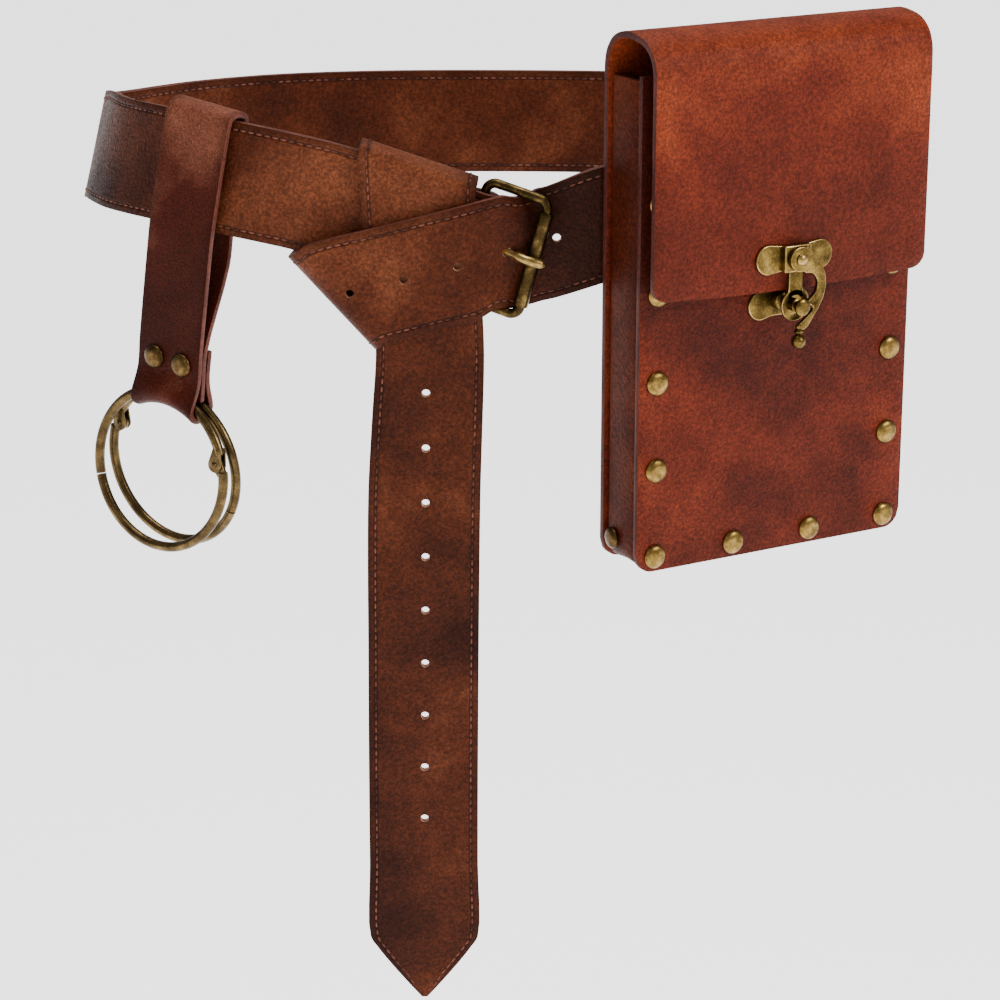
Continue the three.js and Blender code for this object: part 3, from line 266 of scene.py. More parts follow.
# The hips: shares of the waist's half width and half depth, the rise as a share of the belt's width,
# and how far the lower edge leans out, in degrees
hip_table = [
    (-0.59, -0.95, -0.01, 4),
    (-0.77, -0.76, 0.045, 9),
    (-0.91, -0.48, 0.04, 15),
    (-0.98, -0.14, 0, 17),
    (-1.005, 0.2, -0.13, 11),
    (-0.94, 0.51, -0.2, 6),
    (-0.79, 0.74, -0.2, 2),
    (-0.55, 0.9, -0.18, 0),
    (-0.26, 0.98, -0.17, 0),
    (0.02, 1, -0.17, 0),
    (0.32, 0.98, -0.17, 0),
    (0.63, 0.91, -0.17, 0),
    (0.88, 0.78, -0.17, 0),
    (1.05, 0.57, -0.18, 0),
    (1.14, 0.3, -0.18, 0),
    (1.165, 0.02, -0.19, 0),
]
behind_roller = -roller_lift + bend_radius
hip_stops = [{"at": main_point(along, 0, 0), "lean": 0} for along in (-40, -50, -62)]
for across, back, rise, lean in hip_table:
    at = Vector((across * waist_half_width, back * waist_half_depth, rise * belt_width))
    hip_stops.append({"at": at, "lean": lean})
for share in (1.35, 1.13, 0.56, 0, -0.5, -0.8, -0.92):
    hip_stops.append({"at": at_seat(share * run_half), "lean": 0})
hip_stops.append({"at": bight_point(25, 0, behind_roller), "lean": 0})
hip_stops.append({"at": bight_point(14, 0, behind_roller), "lean": 0})


def hip_rows(steps):
    centres = [stop["at"] for stop in hip_stops]
    rows = []
    for i in range(1, len(centres) - 2):
        for step in range(steps):
            share = step / steps
            centre = curve_at(centres, i + share)
            along = (curve_at(centres, i + share + 0.003) - curve_at(centres, i + share - 0.003)).normalized()
            up = (Vector((0, 0, 1)) - along * along.z).normalized()
            out = up.cross(along)
            lean = radians(hip_stops[i]["lean"] * (1 - share) + hip_stops[i + 1]["lean"] * share)
            half = (up * cos(lean) - out * sin(lean)) * half_belt
            rows.append([centre + half, centre - half])
    return rows


crease_half = half_belt / sin(crease_slope + bight_slope)
crease_middle = bight_point(-58, 0, 0)
crease_upper = crease_middle + Vector((-cos(crease_slope), 0, sin(crease_slope))) * crease_half
crease_lower = crease_middle - Vector((-cos(crease_slope), 0, sin(crease_slope))) * crease_half
tail_across = -15.5
tail_shift = 3.0
wrap_front = -ply
wrap_left = tail_across - half_belt
wrap_right = tail_across + half_belt


def crease_row(angle):
    """The slanted fold where the strap turns back behind itself."""
    row = []
    for corner, radius, middle in ((crease_upper, 2 * ply, 0), (crease_lower, 1.15 * ply, -0.85 * ply)):
        x = corner.x - sin(crease_slope) * radius * sin(angle)
        z = corner.z - cos(crease_slope) * radius * sin(angle)
        row.append(in_knot(x, z, middle - cos(angle) * radius))
    return row


def fold_height(x):
    top = -buckle_drop - (x - buckle_across) * tan(main_slope) + (half_belt + slack) / cos(main_slope)
    return top - (half_belt - hinge_end_half_width) * min(max((x - wrap_left) / belt_width, 0), 1)


def wrap_row(angle):
    """The fold over the belt's own top edge."""
    row = []
    rise = belt_thickness / 2 + 2.5 * clearance
    for x, back in ((wrap_left, 1.5 * ply), (wrap_right, 2 * hinge_fold + ply + slack)):
        radius = (back - wrap_front) / 2
        row.append(in_knot(
            x + sin(main_slope) * sin(angle) * rise,
            fold_height(x) + cos(main_slope) * sin(angle) * rise,
            (back + wrap_front) / 2 + cos(angle) * radius))
    return row


# The hanging tail: shares of the way from the fold to the tip's shoulders, and of its sideways shift
tail_table = [
    {"down": 0.07, "shift": 0.25, "squeeze": 0},
    {"down": 0.16, "shift": 0.8, "squeeze": 0.02},
    {"down": 0.22, "shift": 1, "squeeze": 0.05},
    {"down": 0.28, "shift": 0.9, "squeeze": 0.03},
    {"down": 0.4, "shift": 0.55, "squeeze": 0},
    {"down": 0.6, "shift": 0.3, "squeeze": 0},
    {"down": 0.8, "shift": 0.15, "squeeze": 0},
    {"down": 1, "shift": 0.1, "squeeze": 0},
]
tail_length = 289.0
tip_length = 25.0
tip_half = 1.0
tail_top = fold_height(tail_across)


def tail_row(stop):
    shift = tail_across + tail_shift * stop["shift"]
    left = shift - half_belt * (1 - 2 * stop["squeeze"])
    right = shift + half_belt
    slant = tan(main_slope) * max(0, 1 - stop["down"] / 0.28)
    height = tail_top - tail_length * stop["down"]
    return [
        in_knot(left, height + (tail_across - left) * slant, wrap_front),
        in_knot(right, height + (tail_across - right) * slant, wrap_front)]


def belt_keys():
    returned = [main_row(-12, ply), main_row(-5.4, (ply + 2 * hinge_fold) / 2)]
    returned += arc(6, 0, pi, lambda angle: main_row(hinge_fold * sin(angle), hinge_fold * (1 + cos(angle))))
    returned += [main_row(along, 0) for along in (-12, -30, -42)]
    buckled = [through_row(stop) for stop in through_buckle]
    buckled += [bight_row(along, -2 * ply) for along in (-14, -26, -40)]
    creased = arc(8, 0, pi, crease_row)
    wrapped = arc(8, 0, pi, wrap_row)
    behind = smooth_rows([creased[7], creased[8], wrapped[0], wrapped[1]], 5)[6:10]
    tail = smooth_rows([wrapped[8]] + [tail_row(stop) for stop in tail_table], 2)
    shoulder = tail[-1]
    middle = (shoulder[0].x + shoulder[1].x) / 2
    tip = []
    for share in (0.18, 0.35, 0.55, 0.75, 0.9, 1):
        half = half_belt + (tip_half - half_belt) * share ** 1.15
        height = shoulder[0].z - tip_length * share
        tip.append([in_knot(middle - half, height, wrap_front), in_knot(middle + half, height, wrap_front)])
    rows = returned + hip_rows(2) + buckled + creased + behind + wrapped + tail[1:] + tip
    return [row if len(row) > 2 else between(row[0], row[1], across_points) for row in rows]


belt_rows = [[worn(at) for at in row] for row in smooth_rows(belt_keys(), 4)]


def laid(name, rows):
    """A grid primitive laid point by point on rows of places."""
    bpy.ops.object.select_all(action="DESELECT")
    bpy.ops.mesh.primitive_grid_add(x_subdivisions=len(rows[0]) - 1, y_subdivisions=len(rows) - 1, size=1)
    piece = bpy.context.object
    piece.name = name
    piece.data.name = name
    for point, place in zip(piece.data.vertices, [place for row in rows for place in row]):
        point.co = place
    piece.data.update()
    return piece


def mark_flat(piece, rows, width):
    """The piece's own map, in metres: how far along the strip from its first row, and how far across."""
    spots = []
    run = 0
    for i, row in enumerate(rows):
        middle = len(row) // 2
        run += (row[middle] - rows[max(i - 1, 0)][middle]).length
        spots += [(run, width * j / (len(row) - 1)) for j in range(len(row))]
    layer = piece.data.uv_layers.active.data
    for corner in piece.data.loops:
        layer[corner.index].uv = spots[corner.vertex_index]


def apply(piece, kind, **settings):
    modifier = piece.modifiers.new(kind.title(), kind)
    for key, value in settings.items():
        setattr(modifier, key, value)
    bpy.context.view_layer.objects.active = piece
    bpy.ops.object.modifier_apply(modifier=modifier.name)


def pick(*pieces):
    """Only these pieces are selected, and the first is the active one."""
    bpy.ops.object.select_all(action="DESELECT")
    for piece in pieces:
        piece.select_set(True)
    bpy.context.view_layer.objects.active = pieces[0]


def turn_outward():
    bpy.ops.mesh.normals_make_consistent(inside=False)


def edited(piece, *steps):
    """Each step is done to the whole mesh."""
    pick(piece)
    bpy.ops.object.mode_set(mode="EDIT")
    for step in steps:
        bpy.ops.mesh.select_all(action="SELECT")
        step()
    bpy.ops.object.mode_set(mode="OBJECT")


def smooth_shade(piece, angle=35):
    pick(piece)
    bpy.ops.object.shade_smooth_by_angle(angle=radians(angle))


def finished(piece, *finishes):
    for finish in finishes:
        piece.data.materials.append(finish)


def leather_wall(piece, thickness, rounding):
    """A sheet gets its thickness and soft edges: its cut edge takes the second finish."""
    apply(piece, "SOLIDIFY", thickness=thickness * MM, offset=0, material_offset_rim=1)
    apply(piece, "BEVEL", width=rounding * MM, segments=2, limit_method="ANGLE", angle_limit=radians(50))
    smooth_shade(piece)


def drilled(piece, cutters):
    """Holes are cut with the joined cutters, and their walls take the last finish."""
    for cutter in cutters:
        finished(cutter, *piece.data.materials)
        for face in cutter.data.polygons:
            face.material_index = len(piece.data.materials) - 1
    pick(*cutters)
    if len(cutters) > 1:
        bpy.ops.object.join()
    apply(piece, "BOOLEAN", operation="DIFFERENCE", object=cutters[0], solver="EXACT")
    bpy.data.objects.remove(cutters[0])


def drill(place, direction, radius, length, sides=20):
    bpy.ops.object.select_all(action="DESELECT")
    bpy.ops.mesh.primitive_cylinder_add(vertices=sides, radius=radius, depth=length, location=place)
    cutter = bpy.context.object
    cutter.rotation_euler = direction.to_track_quat("Z", "Y").to_euler()
    return cutter


def node(tree, kind, settings=None, **inputs):
    """A shader node: its inputs are named, or numbered as i0, i1 and so on, and take a value or a link."""
    made = tree.nodes.new("ShaderNode" + kind)
    for key, value in (settings or {}).items():
        setattr(made, key, value)
    for key, value in inputs.items():
        numbered = key[0] == "i" and key[1:].isdigit()
        socket = made.inputs[int(key[1:]) if numbered else key.replace("_", " ")]
        if isinstance(value, bpy.types.NodeSocket):
            tree.links.new(value, socket)
        else:
            socket.default_value = value
    return made


def sums(tree, operation, first, second=0.0, third=0.0):
    made = node(tree, "Math", {"operation": operation}, i0=first, i1=second, i2=third)
    return made.outputs[0]


def blended(tree, kind, share, first, second):
    made = node(tree, "Mix", {"data_type": "RGBA", "blend_type": kind}, i0=share, i6=first, i7=second)
    return made.outputs[2]


def ramp(tree, share, stops):
    made = node(tree, "ValToRGB", None, Fac=share)
    stops = list(stops)
    while len(made.color_ramp.elements) < len(stops):
        made.color_ramp.elements.new(0.5)
    for element, (place, colour) in zip(made.color_ramp.elements, stops):
        element.position = place
        element.color = (*colour, 1)
    return made.outputs["Color"]


def darker(colour, share):
    return tuple(share * part for part in colour) + (1,)


def ranged(tree, value, from_low, from_high, to_low, to_high):
    made = node(tree, "MapRange", None, Value=value, From_Min=from_low, From_Max=from_high,
                To_Min=to_low, To_Max=to_high)
    return made.outputs["Result"]


def new_finish(name):
    """A material's node tree, its shader, and the place on the piece."""
    finish = bpy.data.materials.new(name)
    finish.use_nodes = True
    tree = finish.node_tree
    return finish, tree, tree.nodes["Principled BSDF"], node(tree, "TexCoord").outputs["Object"]


def link_shader(tree, shader, colour, height, strength, distance):
    bump = node(tree, "Bump", None, Height=height, Strength=strength, Distance=distance)
    tree.links.new(colour, shader.inputs["Base Color"])
    tree.links.new(bump.outputs["Normal"], shader.inputs["Normal"])


def leather(name, dyes, grain_size, gloss, shine, height_light_and_shade, shift=(0, 0, 0), strip=None, stitched=False,
            spots=()):
    """Dyed leather: cloudy dye from deep to warm, pebbled grain, and on a strip burnished edges and a sewn
    groove;
    painted light and shade shift the tone with height and in spots, and the groove is painted dark as painted
    shade."""
    finish, tree, shader, place = new_finish(name)
    deep = dyes[0]
    moved = node(tree, "Mapping", None, Vector=place, Location=shift).outputs["Vector"]
    cloud = node(tree, "TexNoise", None, Vector=moved, Scale=13.0, Detail=4.0, Roughness=0.55, Distortion=0.4)
    patch = node(tree, "TexNoise", None, Vector=moved, Scale=48.0, Detail=5.0, Roughness=0.52)
    wobble = node(tree, "TexNoise", None, Vector=moved, Scale=520.0, Detail=1.0)
    bent = node(tree, "VectorMath", {"operation": "MULTIPLY_ADD"}, i0=wobble.outputs["Color"],
                i1=(0.0016, 0.0016, 0.0016), i2=moved).outputs["Vector"]
    pebble = node(tree, "TexVoronoi", {"feature": "SMOOTH_F1"}, Vector=bent, Scale=1 / grain_size,
                  Smoothness=0.35)
    fine = node(tree, "TexNoise", None, Vector=moved, Scale=1.7 / grain_size, Detail=4.0, Roughness=0.7)
    fleck = node(tree, "TexNoise", None, Vector=moved, Scale=1.1 / grain_size, Detail=2.0, Distortion=0.8)
    cloudy = sums(tree, "MULTIPLY", cloud.outputs["Fac"], 0.65)
    tone = sums(tree, "MULTIPLY_ADD", patch.outputs["Fac"], 0.35, cloudy)
    # The tone is painted lighter and darker with height and in given spots: painted light and shade.
    height_up = node(tree, "SeparateXYZ", None, Vector=place).outputs["Z"]
    low_at, high_at, low_change, high_change = height_light_and_shade
    tone = sums(tree, "ADD", tone, ranged(tree, height_up, low_at, high_at, low_change, high_change))
    for centre, reach, change in spots:
        away = node(tree, "VectorMath", {"operation": "DISTANCE"}, i0=place, i1=centre).outputs["Value"]
        tone = sums(tree, "ADD", tone, ranged(tree, away, 0.3 * reach, reach, change, 0.0))
    colour = ramp(tree, tone, zip((0.34, 0.5, 0.68), dyes))
    valley = ranged(tree, pebble.outputs["Distance"], 0.25, 0.75, 1.0, 0.0)
    grain = sums(tree, "MULTIPLY_ADD", fine.outputs["Fac"], 0.9, sums(tree, "MULTIPLY", valley, 0.5))
    crisp = ranged(tree, fleck.outputs["Fac"], 0.4, 0.62, 0.74, 1.34)
    shade = sums(tree, "MULTIPLY", ranged(tree, grain, 0.35, 1.1, 0.78, 1.18), crisp)
    grey = node(tree, "CombineColor", None, Red=shade, Green=shade, Blue=shade).outputs["Color"]
    colour = blended(tree, "MULTIPLY", 1.0, colour, grey)
    height = sums(tree, "MULTIPLY_ADD", fleck.outputs["Fac"], 0.8, grain)
    if strip:
        flat = node(tree, "UVMap", {"uv_map": "UVMap"}).outputs["UV"]
        across = node(tree, "SeparateXYZ", None, Vector=flat).outputs["Y"]
        edge = sums(tree, "MINIMUM", across, sums(tree, "SUBTRACT", strip, across))
        loose = sums(tree, "MULTIPLY_ADD", cloud.outputs["Fac"], 0.003, edge)
        worn_edge = ranged(tree, loose, 0.0012, 0.0052, 1.0, 0.0)
        colour = blended(tree, "MIX", sums(tree, "MULTIPLY", worn_edge, 0.55), colour, darker(deep, 0.62))
        if stitched:
            # The sewn groove is sunk in the bump and painted dark as painted shade.
            line = sums(tree, "ABSOLUTE", sums(tree, "SUBTRACT", edge, stitch_inset * MM))
            groove = ranged(tree, line, 0.0003, 0.0009, 1.0, 0.0)
            colour = blended(tree, "MIX", sums(tree, "MULTIPLY", groove, 0.6), colour, darker(deep, 0.3))
            height = sums(tree, "SUBTRACT", height, sums(tree, "MULTIPLY", groove, 1.2))
        wrinkle_place = node(tree, "Mapping", None, Vector=flat, Scale=(560.0, 190.0, 1.0)).outputs["Vector"]
        wrinkle = node(tree, "TexNoise", None, Vector=wrinkle_place, Scale=1.0, Detail=3.0, Roughness=0.6)
        height = sums(tree, "MULTIPLY_ADD", wrinkle.outputs["Fac"], 0.7, height)
    rough = ranged(tree, sums(tree, "ADD", grain, patch.outputs["Fac"]), 0.7, 1.6, gloss + 0.14, gloss - 0.04)
    tree.links.new(rough, shader.inputs["Roughness"])
    link_shader(tree, shader, colour, height, 0.55, 0.0003)
    set_sockets(shader, Specular_IOR_Level=shine)
    return finish


def cut_edge(name, dark, light):
    """The burnished cut edge of leather, with fine layers of fibre."""
    finish, tree, shader, place = new_finish(name)
    fibre = node(tree, "TexNoise", None, Vector=place, Scale=900.0, Detail=3.0, Roughness=0.6)
    patch = node(tree, "TexNoise", None, Vector=place, Scale=60.0, Detail=2.0)
    patchy = sums(tree, "MULTIPLY", patch.outputs["Fac"], 0.5)
    tone = sums(tree, "MULTIPLY_ADD", fibre.outputs["Fac"], 0.5, patchy)
    colour = ramp(tree, tone, [(0.38, dark), (0.62, light)])
    link_shader(tree, shader, colour, fibre.outputs["Fac"], 0.3, 0.0002)
    set_sockets(shader, Roughness=0.5, Specular_IOR_Level=0.1)
    return finish


# Painted light and shade on the strap: a painted sheen where it is folded over, a painted shadow beside the
# pouch and painted shade at the left hip; with height the strap is painted darker toward its hanging tail, as
# painted shade.
left_hip = min((row[len(row) // 2] for row in belt_rows), key=lambda at: at.x)
belt_painted_light_spots = [(worn(bight_point(-36, 0, 0)), 0.045, 0.07), (worn(bight_point(40, 0, 0)), 0.045, -0.24),
              (left_hip, 0.08, -0.1)]
belt_dyes = [(0.024, 0.0046, 0.0016), (0.066, 0.0142, 0.0046), (0.145, 0.04, 0.0155)]
belt_finish = leather("belt_leather", belt_dyes, 0.00125, 0.42, 0.07, (-0.09, 0.01, -0.05, 0.05),
                      (0.1, 0.02, 0), belt_width * MM, True, belt_painted_light_spots)
belt_edge_finish = cut_edge("belt_cut_edge", (0.05, 0.014, 0.009), (0.15, 0.05, 0.032))


def dress(piece, slot, body, *nodes):
    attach(piece, body)
    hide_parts(*nodes)


belt = laid("belt_strap_leather", belt_rows)
# The hole walls are far lighter than the strap's cut edge: a painted highlight on their lit rims.
hole_wall_highlight = cut_edge("belt_hole_walls_painted_highlight", (0.3, 0.14, 0.085), (0.62, 0.38, 0.26))
finished(belt, belt_finish, belt_edge_finish, hole_wall_highlight)
mark_flat(belt, belt_rows, belt_width * MM)
leather_wall(belt, belt_thickness, 0.55)
straight_through = worn(Vector((0, 1, 0)))
hole_radius = 1.5 * MM
hole_pitch = 19.3
tail_hole_pitch = 20.3
first_tail_hole = 79.0
belt_holes = []
for count in (1, 2, 3):
    hole_at = worn(bight_point(-hole_pitch * count + 1.5, 0, -2 * ply))
    belt_holes.append(drill(hole_at, straight_through, hole_radius, 6 * MM))
belt_holes.append(drill(worn(bight_point(17.8, 0, behind_roller)), straight_through, hole_radius, 8 * MM))
belt_holes.append(drill(worn(main_point(prong_hole_reach, 0, -4)), straight_through, 1.7 * MM, 12 * MM))
for count in range(9):
    down = (first_tail_hole + tail_hole_pitch * count) / tail_length
    left, right = tail_row({"down": down, "shift": max(0.1, 1.1 - down), "squeeze": 0})
    belt_holes.append(drill(worn((left + right) / 2), straight_through, hole_radius, 6 * MM))
drilled(belt, belt_holes)
dress(belt, "belt_leather", "pouch_and_belt", "belt_strap")


# Belt stitching
# A row of waxed thread runs 2.7 mm in from each edge on both faces of the strap, sewn by machine at
# three millimetres a stitch. Each stitch is a short plump strand that sinks at both ends.
stitch_pitch = 3.0


def stitch_places(rows, first, second, face):
    """Along the strap, beside one edge: each stitch's middle, its direction and the face's normal."""
    line = []
    for i, row in enumerate(rows):
        gap = (row[second] - row[first]).length
        at = row[first].lerp(row[second], min(stitch_inset * MM / max(gap, 1e-6), 1.8))
        before, after = rows[max(i - 1, 0)], rows[min(i + 1, len(rows) - 1)]
        normal = (after[first] - before[first]).cross(row[-1] - row[0])
        if normal.length >= 1e-12:
            line.append((at, normal.normalized() * face))
    places = []
    left_over = stitch_pitch * MM
    for (start, start_normal), (end, end_normal) in zip(line, line[1:]):
        step = (end - start).length
        while left_over < step:
            share = left_over / step
            normal = start_normal.lerp(end_normal, share).normalized()
            middle = start.lerp(end, share) + normal * (belt_thickness / 2) * MM
            places.append((middle, (end - start).normalized(), normal))
            left_over += stitch_pitch * MM
        left_over -= step
    return places[1:-2]


bpy.ops.object.select_all(action="DESELECT")
bpy.ops.mesh.primitive_uv_sphere_add(segments=6, ring_count=4, radius=1)
one_stitch = bpy.context.object
strand = []
for point in one_stitch.data.vertices:
    strand.append(Vector((point.co.z * 1.15, point.co.x * 0.42, point.co.y * 0.3)) * MM)
strand_faces = [list(face.vertices) for face in one_stitch.data.polygons]
bpy.data.objects.remove(one_stitch)
thread_points = []
thread_faces = []
for first, second in ((0, 1), (-1, -2)):
    for face in (1, -1):
        for at, along, normal in stitch_places(belt_rows, first, second, face):
            side = normal.cross(along).normalized()
            base = len(thread_points)
            thread_points += [at + along * p.x + side * p.y + normal * p.z for p in strand]
            thread_faces += [[base + corner for corner in corners] for corners in strand_faces]
thread_mesh = bpy.data.meshes.new("belt_stitching")
thread_mesh.from_pydata(thread_points, [], thread_faces)
stitching = bpy.data.objects.new("belt_stitching", thread_mesh)
bpy.context.scene.collection.objects.link(stitching)
edited(stitching, turn_outward)
smooth_shade(stitching, 80)


def thread(name, dark, light):
    finish, tree, shader, place = new_finish(name)
    wear = node(tree, "TexNoise", None, Vector=place, Scale=120.0, Detail=3.0)
    twist = node(tree, "TexNoise", None, Vector=place, Scale=4200.0, Detail=1.0)
    colour = ramp(tree, wear.outputs["Fac"], [(0.38, dark), (0.6, light)])
    link_shader(tree, shader, colour, twist.outputs["Fac"], 0.4, 0.0001)
    set_sockets(shader, Roughness=0.55, Specular_IOR_Level=0.15)
    return finish


finished(stitching, thread("belt_thread", (0.034, 0.0085, 0.005), (0.15, 0.046, 0.027)))
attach(stitching, "pouch_and_belt")


# Buckle
# A cast frame of antique brass with rounded corners, a loose roller on its far side, and a prong bent
# round the bar. The leather's folded end holds the bar, and the prong goes through the strap's hole.
def closed_skin(piece):
    """Doubled points are merged, open ends are filled and faces are turned outward."""
    edited(piece, lambda: bpy.ops.mesh.remove_doubles(threshold=0.000002),
           lambda: bpy.ops.mesh.fill_holes(sides=0), turn_outward)
    smooth_shade(piece, 40)
    return piece


def full_turn(sides):
    return [2 * pi * k / sides for k in range(sides + 1)]


def bar(name, path, radii, sides=20, closed=False):
    """A round bar along a path: a radius for each place on it, or one for all."""
    count = len(path)
    rows = []
    side = None
    for i, at in enumerate(path):
        before = path[(i - 1) % count] if closed else path[max(i - 1, 0)]
        after = path[(i + 1) % count] if closed else path[min(i + 1, count - 1)]
        along = (after - before).normalized()
        if side is None:
            side = along.orthogonal().normalized()
        side = (side - along * side.dot(along)).normalized()
        other = along.cross(side)
        radius = radii[i] if isinstance(radii, list) else radii
        rows.append([at + (side * cos(angle) + other * sin(angle)) * radius for angle in full_turn(sides)])
    if closed:
        rows.append(rows[0])
    return closed_skin(laid(name, rows))


def turned(name, profile, place, direction, sides=32):
    """A part turned on a lathe: its profile is radius and height along the axis, in millimetres."""
    stand = direction.to_track_quat("Z", "Y")
    rows = []
    for radius, height in profile:
        spots = [Vector((radius * cos(angle), radius * sin(angle), height)) for angle in full_turn(sides)]
        rows.append([place + stand @ spot * MM for spot in spots])
    return closed_skin(laid(name, rows))


def mirrored(half):
    """A turned profile with a second end like the one given, which runs toward the middle."""
    return half + [(radius, -height) for radius, height in reversed(half)]


def joined(name, *pieces):
    """Soldered or cast parts are one piece."""
    pick(*pieces)
    bpy.ops.object.join()
    pieces[0].name = name
    pieces[0].data.name = name
    return pieces[0]


def brass(name, tones, size, gloss):
    """Antique brass: dark patina in patches over warm metal, with fine casting marks."""
    finish, tree, shader, place = new_finish(name)
    patina = node(tree, "TexNoise", None, Vector=place, Scale=1 / size, Detail=4.0, Roughness=0.5)
    mark = node(tree, "TexNoise", None, Vector=place, Scale=1600.0, Detail=3.0, Roughness=0.7)
    patchy = sums(tree, "MULTIPLY", patina.outputs["Fac"], 0.65)
    tone = sums(tree, "MULTIPLY_ADD", mark.outputs["Fac"], 0.35, patchy)
    tree.links.new(ranged(tree, tone, 0.35, 0.7, gloss + 0.2, gloss), shader.inputs["Roughness"])
    link_shader(tree, shader, ramp(tree, tone, zip((0.33, 0.5, 0.72), tones)), tone, 0.35, 0.00015)
    set_sockets(shader, Metallic=1)
    return finish


buckle_finish = brass("buckle_brass", [(0.016, 0.009, 0.003), (0.06, 0.037, 0.012), (0.24, 0.155, 0.052)],
                      0.004, 0.24)
# The brighter brass is partly worn metal and partly a painted highlight; it goes on the clasp's rims and pins
# and on the buckle's prong.
highlight_brass = brass("worn_and_highlight_brass", [(0.1, 0.06, 0.016), (0.36, 0.235, 0.075), (0.72, 0.5, 0.2)],
                     0.004, 0.22)
buckle_corner = 3.4


def frame_point(along, up):
    return main_point(along, up, hinge_fold + (-roller_lift - hinge_fold) * along / buckle_reach)


def frame_loop(steps):
    loop = []
    far = buckle_reach - buckle_corner
    high = buckle_half_width - buckle_corner
    for along, up, start in ((far, high, 0), (buckle_corner, high, 0.5), (buckle_corner, -high, 1),
                             (far, -high, 1.5)):
        loop += arc(steps, start * pi, (start + 0.5) * pi, lambda angle: frame_point(
            along + buckle_corner * cos(angle), up + buckle_corner * sin(angle)))
    return [worn(at) for at in loop]


buckle_frame = bar("buckle_frame_brass", frame_loop(8), buckle_wire / 2 * MM, 20, True)
finished(buckle_frame, buckle_finish)
dress(buckle_frame, "brass", "pouch_and_belt", "buckle_frame")

roller_half = buckle_half_width - buckle_corner - 0.5
roller_end = [(2.05, -roller_half), (2.45, -roller_half), (2.6, -roller_half + 0.25),
              (2.6, -roller_half + 1.2), (2.55, -roller_half * 0.5), (2.6, 0)]
roller_profile = roller_end + mirrored(roller_end)[-5:] + roller_end[:1]
roller_at = worn(frame_point(buckle_reach, 0))
roller_up = (worn(frame_point(buckle_reach, 1)) - roller_at).normalized()
buckle_roller = turned("buckle_roller_brass", roller_profile, roller_at, roller_up)
finished(buckle_roller, buckle_finish)
dress(buckle_roller, "brass", "pouch_and_belt", "buckle_roller")

prong_radius = 1.25
over_roller = -roller_lift - roller_diameter / 2 - clearance - prong_radius
under_strap = hinge_fold - buckle_wire / 2 - clearance - prong_radius
prong_keys = [
    main_point(0, 0, under_strap),
    main_point(prong_hole_reach * 0.4, 0, under_strap - 0.6),
    main_point(prong_hole_reach, 0, strap_depth(prong_hole_reach, 0) - 0.2),
    main_point(buckle_reach - roller_diameter * 0.3, 0, over_roller),
    main_point(buckle_reach + roller_diameter * 0.75, 0, over_roller + 0.5)]
prong_path = [worn(curve_at(prong_keys, i / 8)) for i in range(33)]
prong_swell = [1.1] * 20 + [1.35] * 11 + [1.1, 0.7]
prong_shank = bar("prong_shank", prong_path, [prong_radius * MM * share for share in prong_swell], 16)
eye_reach = buckle_wire / 2 + clearance + prong_radius
eye_path = [worn(main_point(eye_reach * sin(angle), 0, hinge_fold + eye_reach * cos(angle)))
            for angle in full_turn(24)[:-1]]
prong_eye = bar("prong_eye", eye_path, prong_radius * MM, 16, True)
buckle_prong = joined("buckle_prong_brass", prong_shank, prong_eye)
# The prong is all in the brighter brass: worn metal with a painted highlight.
finished(buckle_prong, highlight_brass)
dress(buckle_prong, "brass", "pouch_and_belt", "buckle_prong")


# Pouch
# A tall flat pouch of 2.2 mm leather. One piece is its back, arches over the top and hangs down in
# front as the flap. The front panel is riveted to a gusset that makes the two sides and the bottom.
pouch_height = 176.0
pouch_depth = 24.2
pouch_leather = 2.2
half_pouch = pouch_width / 2
pouch_at = Vector((59.25, -94.57, -135.96))
flap_bottom = pouch_height * (1 - 0.4324)
flap_face = -pouch_depth - 6.5 - pouch_leather / 2
rear_face = -pouch_leather / 2
front_middle = -pouch_depth + pouch_leather / 2
panel_corner = 7
flap_corner = 5
arch_rise = 12.8
panel_columns = 24


def on_pouch(x, y, z):
    """Across from the pouch's middle, back from its rear face and up from its bottom, in millimetres."""
    return (pouch_at + Vector((x, y, z))) * MM


def corner_half(from_end, radius):
    miss = max(radius - from_end, 0)
    return half_pouch - radius + sqrt(max(radius * radius - miss * miss, 0))


def panel_row(y, z, half, sag=0.0, swell=0.0):
    row = []
    for j in range(panel_columns + 1):
        share = 2 * j / panel_columns - 1
        row.append(on_pouch(half * share, y - swell * (1 - share ** 4), z - sag * (1 - share * share)))
    return row


def corner_rows(y):
    """The rows over a panel's two rounded corners at the bottom."""
    return [panel_row(y, panel_corner * share, corner_half(panel_corner * share, panel_corner))
            for share in (0, 0.03, 0.1, 0.25, 0.5, 1)]


def pouch_wall(name, rows, finish, rounding, node_name, folded=False):
    """A piece of the pouch's leather: where a folded one's corners cross, doubled points are merged."""
    piece = laid(name, rows)
    if folded:
        edited(piece, lambda: bpy.ops.mesh.remove_doubles(threshold=0.0001))
    finished(piece, finish, pouch_edge_finish)
    leather_wall(piece, pouch_leather, rounding)
    dress(piece, "pouch_leather", "pouch_and_belt", node_name)


pouch_dyes = [(0.06, 0.0074, 0.0027), (0.105, 0.0135, 0.0046), (0.215, 0.036, 0.0105)]
# The pouch's leather is painted a little lighter toward the top and darker lower down: painted light from
# above.
pouch_finish = leather("pouch_leather", pouch_dyes, 0.0012, 0.4, 0.08, (-0.02, 0.05, -0.03, 0.03))
pouch_edge_finish = cut_edge("pouch_cut_edge", (0.03, 0.007, 0.006), (0.085, 0.022, 0.016))

